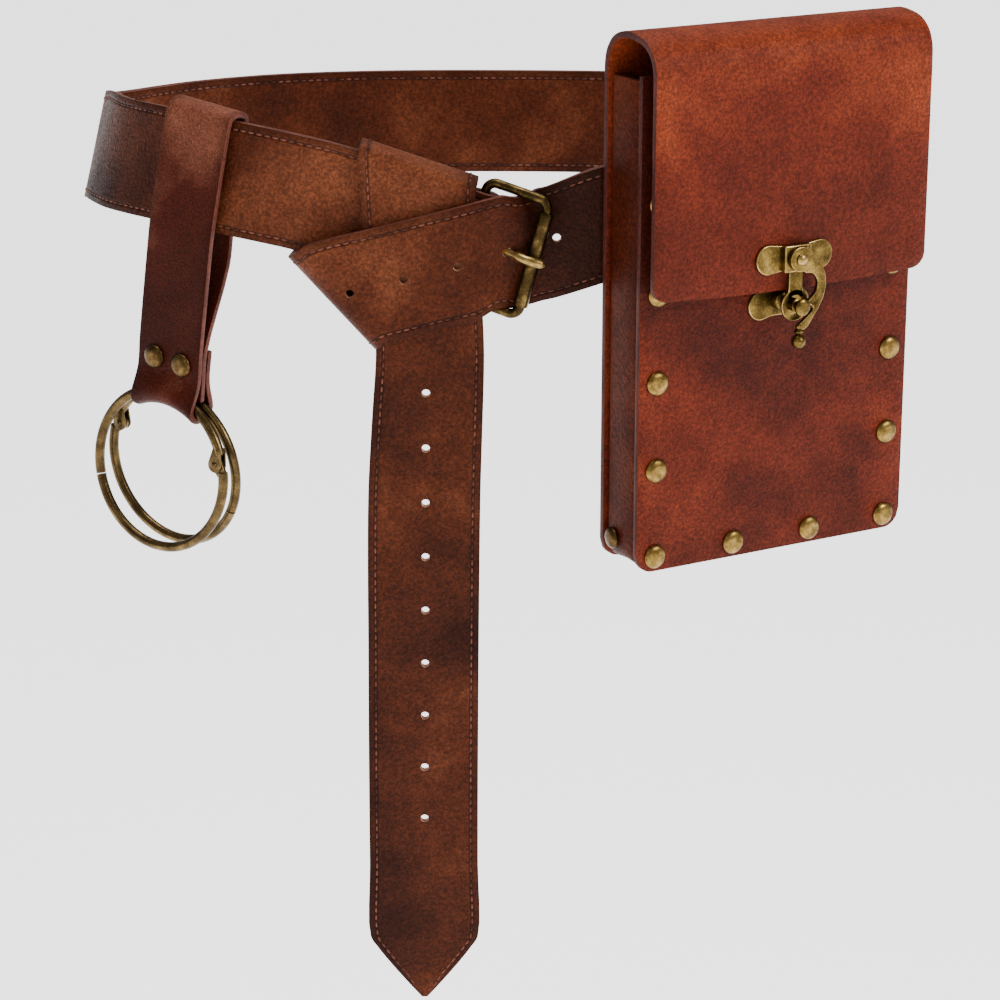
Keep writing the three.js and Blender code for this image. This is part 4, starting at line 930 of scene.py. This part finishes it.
# The side view of the arch: shares of the way from back to flap, and of the arch's rise
arch_table = [(0, 0.12), (0.04, 0.48), (0.16, 0.82), (0.36, 1), (0.6, 0.98), (0.8, 0.85), (0.93, 0.58),
              (0.99, 0.22), (1, -0.2)]
back_keys = corner_rows(rear_face)
back_keys += [panel_row(rear_face, pouch_height * share, half_pouch)
              for share in (0.12, 0.3, 0.55, 0.8, 0.97)]
arch_keys = []
for out, up in arch_table:
    depth = rear_face + (flap_face - rear_face) * out
    arch_keys.append(panel_row(depth, pouch_height + arch_rise * up, half_pouch))
flap_drop = pouch_height - flap_bottom
flap_keys = [panel_row(flap_face, flap_bottom + flap_drop * share, half_pouch, 0, swell)
             for share, swell in ((0.85, 0.2), (0.6, 0.6), (0.35, 0.6), (0.12, 0.3))]
arch_rows = smooth_rows([back_keys[-1]] + arch_keys + [flap_keys[0]], 4)[1:-1]
back_rows = back_keys + arch_rows + smooth_rows(flap_keys, 4)
for share in (1, 0.62, 0.3, 0.12, 0.03, 0):
    half = corner_half(flap_corner * share, flap_corner)
    depth = flap_face + 0.4 * (1 - share)
    back_rows.append(panel_row(depth, flap_bottom + flap_corner * share, half, 1.6 * (1 - share), 0.2))
pouch_wall("pouch_back_and_flap_leather", back_rows, pouch_finish, 0.45, "pouch_back_flap")

front_rows = corner_rows(front_middle)
for share in (0.08, 0.14, 0.2, 0.28, 0.36, 0.44, 0.52, 0.6, 0.7, 0.8, 0.9, 1):
    swell = 0.7 * sin(pi * share / 1.05)
    row = []
    for j in range(panel_columns + 1):
        side = 2 * j / panel_columns - 1
        bulge = swell * (1 - min(abs(side) / 0.82, 1) ** 2)
        row.append(on_pouch(half_pouch * side, front_middle - bulge, pouch_height * share))
    front_rows.append(row)
# The front is painted dark above the flap's lower edge, with a darker deep tone, as painted shadow under the
# flap
flap_shadow_line = on_pouch(0, 0, flap_bottom).z
front_finish_flap_shadow = leather("front_leather_flap_shadow", [(0.04, 0.005, 0.0019)] + pouch_dyes[1:], 0.0012, 0.4, 0.08,
                       (flap_shadow_line + 0.001, flap_shadow_line + 0.006, -0.05, -0.4))
pouch_wall("pouch_front_panel_leather", front_rows, front_finish_flap_shadow, 0.45, "pouch_front_panel")

# The gusset goes down one side, along the bottom and up the other, a flange turned in at each long edge
gusset_inset = 0.8
gusset_front = -pouch_depth + pouch_leather + clearance
gusset_back = -pouch_leather - clearance
gusset_out = half_pouch - gusset_inset - pouch_leather / 2
gusset_radius = panel_corner - gusset_inset - pouch_leather / 2
gusset_floor = gusset_inset + pouch_leather / 2


def gusset_spot(stop, inward):
    """A stop on the U-shaped cut, moved inward: the corners fold where they would cross."""
    side, height, angle = stop
    if angle is None and height > 0:
        return side * (gusset_out - inward), height
    if angle is None:
        return side * gusset_out, gusset_floor + inward
    radius = max(gusset_radius - inward, 0)
    more = max(inward - gusset_radius, 0)
    x = gusset_out - gusset_radius - more + radius * cos(angle)
    return side * x, gusset_floor + gusset_radius + more - radius * sin(angle)


gusset_heights = [24, 40, 70, 100, 130, 160, 174]
corner_angles = [pi / 2 * step / 6 for step in range(7)]
gusset_stops = [(-1, height, None) for height in reversed(gusset_heights)]
gusset_stops += [(-1, 0, angle) for angle in corner_angles]
gusset_stops += [(share, 0, None) for share in (-0.72, -0.36, 0, 0.36, 0.72)]
gusset_stops += [(1, 0, angle) for angle in reversed(corner_angles)]
gusset_stops += [(1, height, None) for height in gusset_heights]
fold = 1.4
front_line = gusset_front + pouch_leather / 2
back_line = gusset_back - pouch_leather / 2
gusset_section = [
    (12 - pouch_leather / 2, front_line), (6, front_line), (fold, front_line),
    (fold * 0.3, front_line + fold * 0.3), (0, front_line + fold), (0.5, (gusset_front + gusset_back) / 2),
    (0, back_line - fold), (fold * 0.3, back_line - fold * 0.3), (fold, back_line), (5, back_line),
    (7.3, back_line)]
gusset_rows = []
for stop in gusset_stops:
    spots = [(gusset_spot(stop, inward), y) for inward, y in gusset_section]
    gusset_rows.append([on_pouch(x, y, z) for (x, z), y in spots])
# The gusset is a darker copy of the pouch's leather: painted shade on the side away from the lamps, also
# painted darker lower down.
gusset_shade_dyes = [(0.02, 0.0032, 0.0013), (0.048, 0.0078, 0.0028), (0.1, 0.019, 0.006)]
gusset_shade_finish = leather("gusset_leather_painted_shade", gusset_shade_dyes, 0.0015, 0.42, 0.05, (-0.14, 0.04, -0.02, 0.02))
pouch_wall("pouch_gusset_leather", gusset_rows, gusset_shade_finish, 0.4, "pouch_gusset", True)

# Two loops behind the pouch hold the belt: each is a short strap riveted above and below
belt_line = pouch_height * 0.71
loop_half = (belt_width + 8) / 2
loop_flat = clearance + pouch_leather / 2
loop_stand = belt_thickness + 2 * slack + pouch_leather / 2
loop_tab = 14
loop_reach = 31.05
loop_half_width = 11
loop_top = [
    (loop_stand, loop_half * 0.4), (loop_stand, loop_half - 1.6), ((loop_flat + loop_stand) / 2, loop_half),
    (loop_flat, loop_half + 1.6), (loop_flat, loop_half + loop_tab / 2), (loop_flat, loop_half + loop_tab)]
loop_profile = [(y, -z) for y, z in reversed(loop_top)] + loop_top
for side, centre in (("left", -loop_reach), ("right", loop_reach)):
    keys = []
    for y, z in loop_profile:
        ends = [on_pouch(centre + way * loop_half_width, y, belt_line + z) for way in (-1, 1)]
        keys.append(between(*ends, 9))
    pouch_wall(f"belt_loop_{side}_leather", smooth_rows(keys, 2), pouch_finish, 0.4, f"belt_loop_{side}")


# Rivets
# Two-part rivets of antique brass: a domed cap in front with a rolled rim, a shank and a small flat
# washer behind. Each is turned to hold its own stack of leather.
rivet_cap = 8.6
small_cap = 7.74
rivet_inset = 7.6
rivet_low = 5.6
rivet_pitch = 31.6
rivet_grip = 2 * pouch_leather + clearance
forward = Vector((0, -1, 0))
rivet_finish = brass("rivet_brass", [(0.05, 0.028, 0.007), (0.2, 0.12, 0.03), (0.46, 0.3, 0.09)], 0.003, 0.22)
dark_rivet_finish = brass("dark_rivet_brass", [(0.02, 0.011, 0.004), (0.075, 0.042, 0.014),
                                               (0.2, 0.125, 0.042)], 0.003, 0.26)


def rivet(name, cap, grip, place, facing, finish, node_name):
    """The cap, the shank and the washer, for the thickness of leather that they hold."""
    dome = [(0, 1.75), (0.25, 1.72), (0.5, 1.6), (0.72, 1.36), (0.88, 0.98), (0.97, 0.56), (1, 0.26),
            (0.97, 0.06), (0.9, 0)]
    profile = [(cap / 2 * share, height) for share, height in dome]
    inside = -grip - 0.7
    profile += [(1.3, 0), (1.3, inside), (2.1, inside), (2.1, inside - 0.8), (0, inside - 0.8)]
    piece = turned(name, profile, place, facing, 28)
    finished(piece, finish)
    dress(piece, "brass", "pouch_and_belt", node_name)


def front_rivet(where, x, z):
    place = on_pouch(x, -pouch_depth - clearance, z)
    rivet(f"domed_rivet_{where}", rivet_cap, rivet_grip, place, forward, rivet_finish, f"front_rivet_{where}")


for side, x in (("left", rivet_inset - half_pouch), ("right", half_pouch - rivet_inset)):
    for row in range(5):
        front_rivet(f"{side}_{row + 1}", x, rivet_low + rivet_pitch * row)
for count in (1, 2):
    front_rivet(f"bottom_{count}", (rivet_inset - half_pouch) * (1 - 2 * count / 3), rivet_low)
for side, sign in (("left", -1), ("right", 1)):
    place = on_pouch(sign * (half_pouch - gusset_inset + clearance), -7.5, 9)
    rivet(f"gusset_side_rivet_{side}", small_cap, pouch_leather, place, Vector((sign, 0, 0)),
          dark_rivet_finish, f"gusset_rivet_{side}")
    for end, way in (("bottom", -1), ("top", 1)):
        place = on_pouch(sign * loop_reach, pouch_leather + 2 * clearance,
                         belt_line + way * (loop_half + loop_tab * 0.55))
        rivet(f"belt_loop_rivet_{side}_{end}", small_cap, rivet_grip, place, -forward, dark_rivet_finish,
              f"loop_rivet_{side}_{end}")


# Clasp
# A swing hook of antique brass. Its plate is pinned to the flap by two ears and carries a raised box and
# a tongue with an eye. The eye goes round a post on the front panel, and the hook swings under its head.
clasp_finish = brass("clasp_brass", [(0.03, 0.017, 0.004), (0.13, 0.08, 0.02), (0.34, 0.225, 0.06)],
                     0.005, 0.22)
clasp_x = -0.3
clasp_rise = 10
pivot_z = flap_bottom + clasp_rise
post_drop = 16.8
post_z = pivot_z - post_drop
plate_back = flap_face - pouch_leather / 2 - clearance
plate_thickness = 1.2
box_depth = 3.4
box_front = plate_back - box_depth
hook_thickness = 1.7
hook_back = box_front - clearance
hook_front = hook_back - hook_thickness
ear_radius = 5.3


def pressed(corners, thickness):
    """A flat plate with these corners, pressed out along Y."""
    bpy.ops.object.select_all(action="DESELECT")
    bpy.ops.mesh.primitive_circle_add(vertices=len(corners), radius=1, fill_type="NGON")
    piece = bpy.context.object
    for point, corner in zip(piece.data.vertices, corners):
        point.co = corner
    push = {"value": (0, thickness, 0)}
    edited(piece, lambda: bpy.ops.mesh.extrude_region_move(TRANSFORM_OT_translate=push), turn_outward)
    return piece


def stamped(name, outline, front, thickness, rounding):
    """A plate from an outline of across and up, stamped from sheet: its rim takes the brighter brass, worn
    bright and painted lighter as a painted highlight.
    """
    piece = pressed([on_pouch(x, front, z) for x, z in outline], thickness * MM)
    piece.name = name
    finished(piece, clasp_finish, highlight_brass)
    apply(piece, "BEVEL", width=rounding * MM, segments=3, limit_method="ANGLE", angle_limit=radians(45),
          material=1)
    smooth_shade(piece, 40)
    return piece


def smooth_outline(keys, steps):
    """A smooth closed line through a few places, as across and up."""
    stops = [Vector((x, 0, z)) for x, z in keys[-2:] + keys + keys[:3]]
    spots = [curve_at(stops, 2 + i / steps) for i in range(len(keys) * steps)]
    return [(at.x, at.z) for at in spots]


def eared(up, width, waist):
    """Two round ears with a slightly drawn-in middle."""
    line = []
    for side, start in ((1, -0.5), (-1, 0.5)):
        ear = clasp_x + side * (width / 2 - ear_radius)
        line += arc(14, start * pi, (start + 1) * pi, lambda angle: (
            ear + ear_radius * cos(angle), up + ear_radius * sin(angle)))
        for way in (side, -side):
            line.append((clasp_x + way * width * 0.12, up + side * ear_radius * waist))
    return line


def round_outline(up, radius):
    return [(clasp_x + radius * cos(angle), up + radius * sin(angle)) for angle in full_turn(40)[:-1]]


ears = stamped("ears", eared(pivot_z, 32, 0.82), plate_back - plate_thickness, plate_thickness, 0.35)
box_corners = [(clasp_x + across * 5.5, pivot_z + up * 4.75)
               for across, up in ((-1, -1), (1, -1), (1, 1), (-1, 1))]
box = stamped("box", box_corners, box_front, box_depth, 0.45)
tongue_front = plate_back - 2.3
tongue_side = [(2.8, pivot_z - 3), (2.8, post_z + 6.2), (3.6, post_z + 2.4)]
tongue_line = [(clasp_x - x, z) for x, z in tongue_side]
tongue_line += [(clasp_x + x, z) for x, z in reversed(tongue_side)]
tongue = stamped("tongue", tongue_line, tongue_front, plate_thickness, 0.3)
eye = stamped("eye", round_outline(post_z, 5.7), tongue_front, plate_thickness, 0.3)
for piece in (eye, tongue):
    drilled(piece, [drill(on_pouch(clasp_x, tongue_front, post_z), -forward, 3.6 * MM, 12 * MM, 40)])
pin_profile = [(0, 1.25), (0.7, 1.18), (1.35, 0.95), (1.85, 0.55), (2.1, 0.15), (2.0, 0), (1.2, 0),
               (1.2, -3.4), (0, -3.4)]
pin = turned("pin", pin_profile, on_pouch(clasp_x, hook_front - clearance, pivot_z), forward, 28)
# The pin takes the brighter brass: worn metal with a painted highlight.
finished(pin, highlight_brass)
clasp_plate = joined("clasp_plate_brass", ears, box, tongue, eye, pin)
dress(clasp_plate, "brass", "pouch_and_belt", "clasp_plate")

# The hook's outline as shares of the post's drop: its outer edge down, then its inner edge back up
hook_edge = [
    (0.13, 0.26), (0.42, -0.05), (0.6, -0.33), (0.63, -0.62), (0.55, -0.92), (0.36, -1.22), (0.12, -1.5),
    (-0.07, -1.44), (0.17, -1.24), (0.33, -1.06), (0.19, -0.93), (0.37, -0.74), (0.42, -0.52), (0.3, -0.33),
    (0.08, -0.27)]
hook_keys = [(clasp_x + across * post_drop, pivot_z + up * post_drop) for across, up in hook_edge]
arm = stamped("arm", smooth_outline(hook_keys, 4), hook_front, hook_thickness, 0.3)
disc = stamped("disc", round_outline(pivot_z, 4.5), hook_front - 0.02, hook_thickness + 0.02, 0.35)
stem_profile = [
    (0, 3.8), (0.7, 3.75), (1.2, 3.4), (1.15, 2.6), (1.0, 2.2), (1.35, 1.9), (1.75, 1.4), (1.7, 0.9),
    (1.2, 0.5), (1.05, 0.1), (1.45, -0.15), (2.1, -0.75), (2.5, -1.6), (2.6, -2.4), (2.45, -3.3), (1.9, -4.2),
    (1.1, -4.75), (0.4, -4.92), (0, -4.95)]
stem_at = on_pouch(clasp_x + 0.1, (hook_front + hook_back) / 2, pivot_z - 1.61 * post_drop)
stem = turned("stem", stem_profile, stem_at, Vector((0, 0, 1)), 28)
finished(stem, clasp_finish)
clasp_hook = joined("clasp_hook_brass", arm, disc, stem)
dress(clasp_hook, "brass", "clasp_hook_body", "clasp_hook")

base_front = -pouch_depth - clearance - plate_thickness
base = stamped("post_base", eared(post_z - 1.5, 25.6, 0.8), base_front, plate_thickness, 0.35)
reach = -pouch_depth - hook_back
post_profile = [
    (0, reach + 3.95), (1.6, reach + 3.9), (2.6, reach + 3.7), (3.0, reach + 3.3), (3.0, reach + 2.4),
    (2.7, reach + 2.1), (1.85, reach + 2.05), (1.85, reach - 0.1), (2.3, reach - 0.3), (2.3, 4.9), (3.2, 4.6),
    (3.5, 4.2), (3.5, 1.2), (1.3, 1.0), (1.3, -2.9), (4.0, -2.95), (4.0, -3.7), (0, -3.75)]
post_shape = turned("post_turned", post_profile, on_pouch(clasp_x, -pouch_depth, post_z), forward, 36)
finished(post_shape, clasp_finish)
clasp_post = joined("clasp_post_brass", base, post_shape)
dress(clasp_post, "brass", "pouch_and_belt", "clasp_post")


# Ring strap
# A smooth dark strap, 28 mm wide, goes over the belt and down both sides of it. Its end turns up round
# two rings at the bottom, and two rivets hold the three plies together.
frog_width = 28.0
frog_thickness = 2.2
frog_tilt = radians(7.2)
ring_diameter = 61.5
ring_wire = 3.6
ring_radius = (ring_diameter - ring_wire) / 2
hip_four = hip_rows(4)


def frog_miss(i):
    """How far a row of the hips is from the ring strap's place on the front of the belt."""
    middle = (hip_four[i][0] + hip_four[i][1]) / 2
    return abs(middle.x + 0.665 * waist_half_width) + (waist_half_width if middle.y > 0 else 0)


frog_place = min(range(len(hip_four)), key=frog_miss)
frog_centre = (hip_four[frog_place][0] + hip_four[frog_place][1]) / 2
frog_along = hip_four[frog_place + 1][0] - hip_four[frog_place][0]
frog_upright = (hip_four[frog_place][0] - hip_four[frog_place][1]).z / belt_width
frog_lean = atan2(sqrt(max(1 - frog_upright ** 2, 0)), frog_upright)
frog_frame = (Matrix.Scale(MM, 4) @ Matrix.Rotation(-pouch_turn, 4, "Z") @ Matrix.Translation(frog_centre)
              @ Matrix.Rotation(-atan2(frog_along.y, -frog_along.x), 4, "Z")
              @ Matrix.Rotation(frog_tilt, 4, "Y"))
frog_ply = frog_thickness + clearance
frog_fold = ring_wire + 1.6 * clearance + 0.6 * frog_thickness
frog_fold_drop = ring_wire / 2 + 2.8 * clearance + 0.6 * frog_thickness
ring_top = -61 - half_belt
frog_rivet_up = ring_top + 12.5
belt_bulge = (frog_width / 2) ** 2 / waist_half_depth / 2
stand_off = belt_thickness / 2 + slack + frog_thickness / 2 + 0.9
top = half_belt * cos(frog_lean) + clearance
lean_out = sin(frog_lean) * half_belt
front_top, front_low = lean_out - stand_off, -lean_out - stand_off
back_top, back_low = lean_out + stand_off + belt_bulge, -lean_out + stand_off + 2.4 * belt_bulge
frog_hang = front_low + frog_ply * 0.4
over_radius = (back_top - front_top) / 2
over_middle = (back_top + front_top) / 2
flat_up = frog_rivet_up - rivet_cap * 0.55
joined_up = frog_rivet_up + rivet_cap * 0.7
frog_stops = [
    (frog_hang, ring_top + ring_wire / 2 + 2 * clearance), (frog_hang, flat_up), (frog_hang, joined_up),
    (back_low - frog_ply * 0.3, -top - belt_width * 0.3), (back_low, -top)]
frog_stops += arc(6, 0, pi, lambda angle: (
    over_middle + over_radius * cos(angle), top + frog_ply * sin(angle)))
frog_stops += [(front_low, -top), (front_low - frog_ply * 0.2, -top - belt_width * 0.25),
               (frog_hang - frog_ply, joined_up), (frog_hang - frog_ply, flat_up)]
frog_stops += arc(8, 0, pi, lambda angle: (
    frog_hang - frog_fold * cos(angle), ring_top - frog_fold_drop * sin(angle)))
frog_stops += [(frog_hang + frog_ply, flat_up), (frog_hang + frog_ply, frog_rivet_up + 6)]
frog_keys = []
for y, z in frog_stops:
    near = min(max((ring_top + 12 - z) / 12, 0), 1)
    row = []
    for j in range(across_points):
        u = frog_width * (j / (across_points - 1) - 0.5)
        dip = (ring_radius - sqrt(ring_radius ** 2 - u ** 2)) * near
        row.append(frog_frame @ Vector((u, y, z - dip)))
    frog_keys.append(row)
frog_rows = smooth_rows(frog_keys, 4)
# The ring strap is painted lighter toward its top fold as a painted sheen, and lighter at its fold round the
# rings as painted light.
frog_dyes = [(0.032, 0.0046, 0.0019), (0.05, 0.0074, 0.003), (0.17, 0.054, 0.03)]
frog_fold_painted_light = [(frog_frame @ Vector((0, frog_hang, ring_top)), 0.02, 0.14)]
frog_finish = leather("ring_strap_leather", frog_dyes, 0.0008, 0.4, 0.05, (-0.045, 0.035, -0.17, 0.17),
                      (0.3, 0.1, 0), frog_width * MM, False, frog_fold_painted_light)
frog_edge_finish = cut_edge("ring_strap_cut_edge", (0.05, 0.013, 0.009), (0.13, 0.038, 0.026))
ring_strap = laid("ring_strap_dark_leather", frog_rows)
finished(ring_strap, frog_finish, frog_edge_finish)
mark_flat(ring_strap, frog_rows, frog_width * MM)
leather_wall(ring_strap, frog_thickness, 0.45)
dress(ring_strap, "frog_leather", "pouch_and_belt", "ring_strap")
frog_facing = (frog_frame.to_3x3() @ forward).normalized()
frog_face = frog_hang - frog_ply - frog_thickness / 2 - clearance
for count, x in ((1, -6.2), (2, 6.2)):
    rivet(f"dark_rivet_{count}", rivet_cap, 3 * frog_thickness + 2 * clearance,
          frog_frame @ Vector((x, frog_face, frog_rivet_up)), frog_facing, dark_rivet_finish,
          f"ring_strap_rivet_{count}")


# Rings
# Two round rings of brass wire hang side by side in the fold. Each is in two halves that meet at a
# hinge: the upper half ends in two cheeks with a pin, and the lower half in a tongue between them.
ring_finish = brass("ring_brass", [(0.028, 0.017, 0.007), (0.08, 0.051, 0.02), (0.22, 0.145, 0.058)],
                    0.006, 0.24)
split_angle = radians(20)
hinge_angle = 3.2 / ring_radius
end_gap = 0.7 * clearance / ring_radius
hinge_at = Vector((cos(split_angle), 0, sin(split_angle))) * (ring_radius - 2.2)
hinge_pin = mirrored([(0, 2.35), (0.6, 2.3), (1.05, 2.1), (1.15, 1.8), (0.7, 1.75)])


def on_ring(angle):
    return Vector((ring_radius * cos(angle), 0, ring_radius * sin(angle)))


def cheek(ring_frame, toward, low, high, radius):
    """A flat lug round the pin, running out to the end of the wire."""
    away = on_ring(split_angle + toward * (hinge_angle + 0.05)) - hinge_at
    length = away.length
    away.normalize()
    side = Vector((-away.z, 0, away.x))
    line = arc(14, pi / 2, 1.5 * pi, lambda angle: (radius * cos(angle), radius * sin(angle)))
    line += [(length, -radius * 0.65), (length + 1.2, -radius * 0.5), (length + 1.2, radius * 0.5),
             (length, radius * 0.65)]
    near = hinge_at + Vector((0, low, 0))
    piece = pressed([near + away * u + side * v for u, v in line], high - low)
    piece.data.transform(ring_frame)
    apply(piece, "BEVEL", width=0.22 * MM, segments=2, limit_method="ANGLE", angle_limit=radians(45))
    smooth_shade(piece, 40)
    return piece


for which, sign, about in (("front", -1, 0), ("back", 1, pi)):
    hung = Matrix.Translation((0, frog_hang + sign * (ring_wire + clearance) / 2, ring_top))
    swung = Matrix.Rotation(sign * radians(3.5), 4, "X") @ Matrix.Translation((0, 0, -ring_radius))
    ring_frame = frog_frame @ hung @ swung @ Matrix.Rotation(about, 4, "Z")
    pin_way = (ring_frame.to_3x3() @ Vector((0, 1, 0))).normalized()
    for part, toward, body in (("upper", 1, "pouch_and_belt"), ("lower", -1, f"{which}_ring_gate")):
        start = split_angle + toward * hinge_angle
        end = split_angle + toward * (pi - end_gap)
        path = arc(48, start, end, lambda angle: ring_frame @ on_ring(angle))
        parts = [bar("wire", path, ring_wire / 2 * MM)]
        if part == "upper":
            parts.append(cheek(ring_frame, toward, -1.75, -1.05, 2.9))
            parts.append(cheek(ring_frame, toward, 1.05, 1.75, 2.9))
            parts.append(turned("pin", hinge_pin, ring_frame @ hinge_at, pin_way, 16))
        else:
            parts.append(cheek(ring_frame, toward, -0.7, 0.7, 2.7))
        ring = joined(f"ring_{which}_{part}_wire", *parts)
        finished(ring, ring_finish)
        dress(ring, "brass", body, f"ring_{which}_{part}")
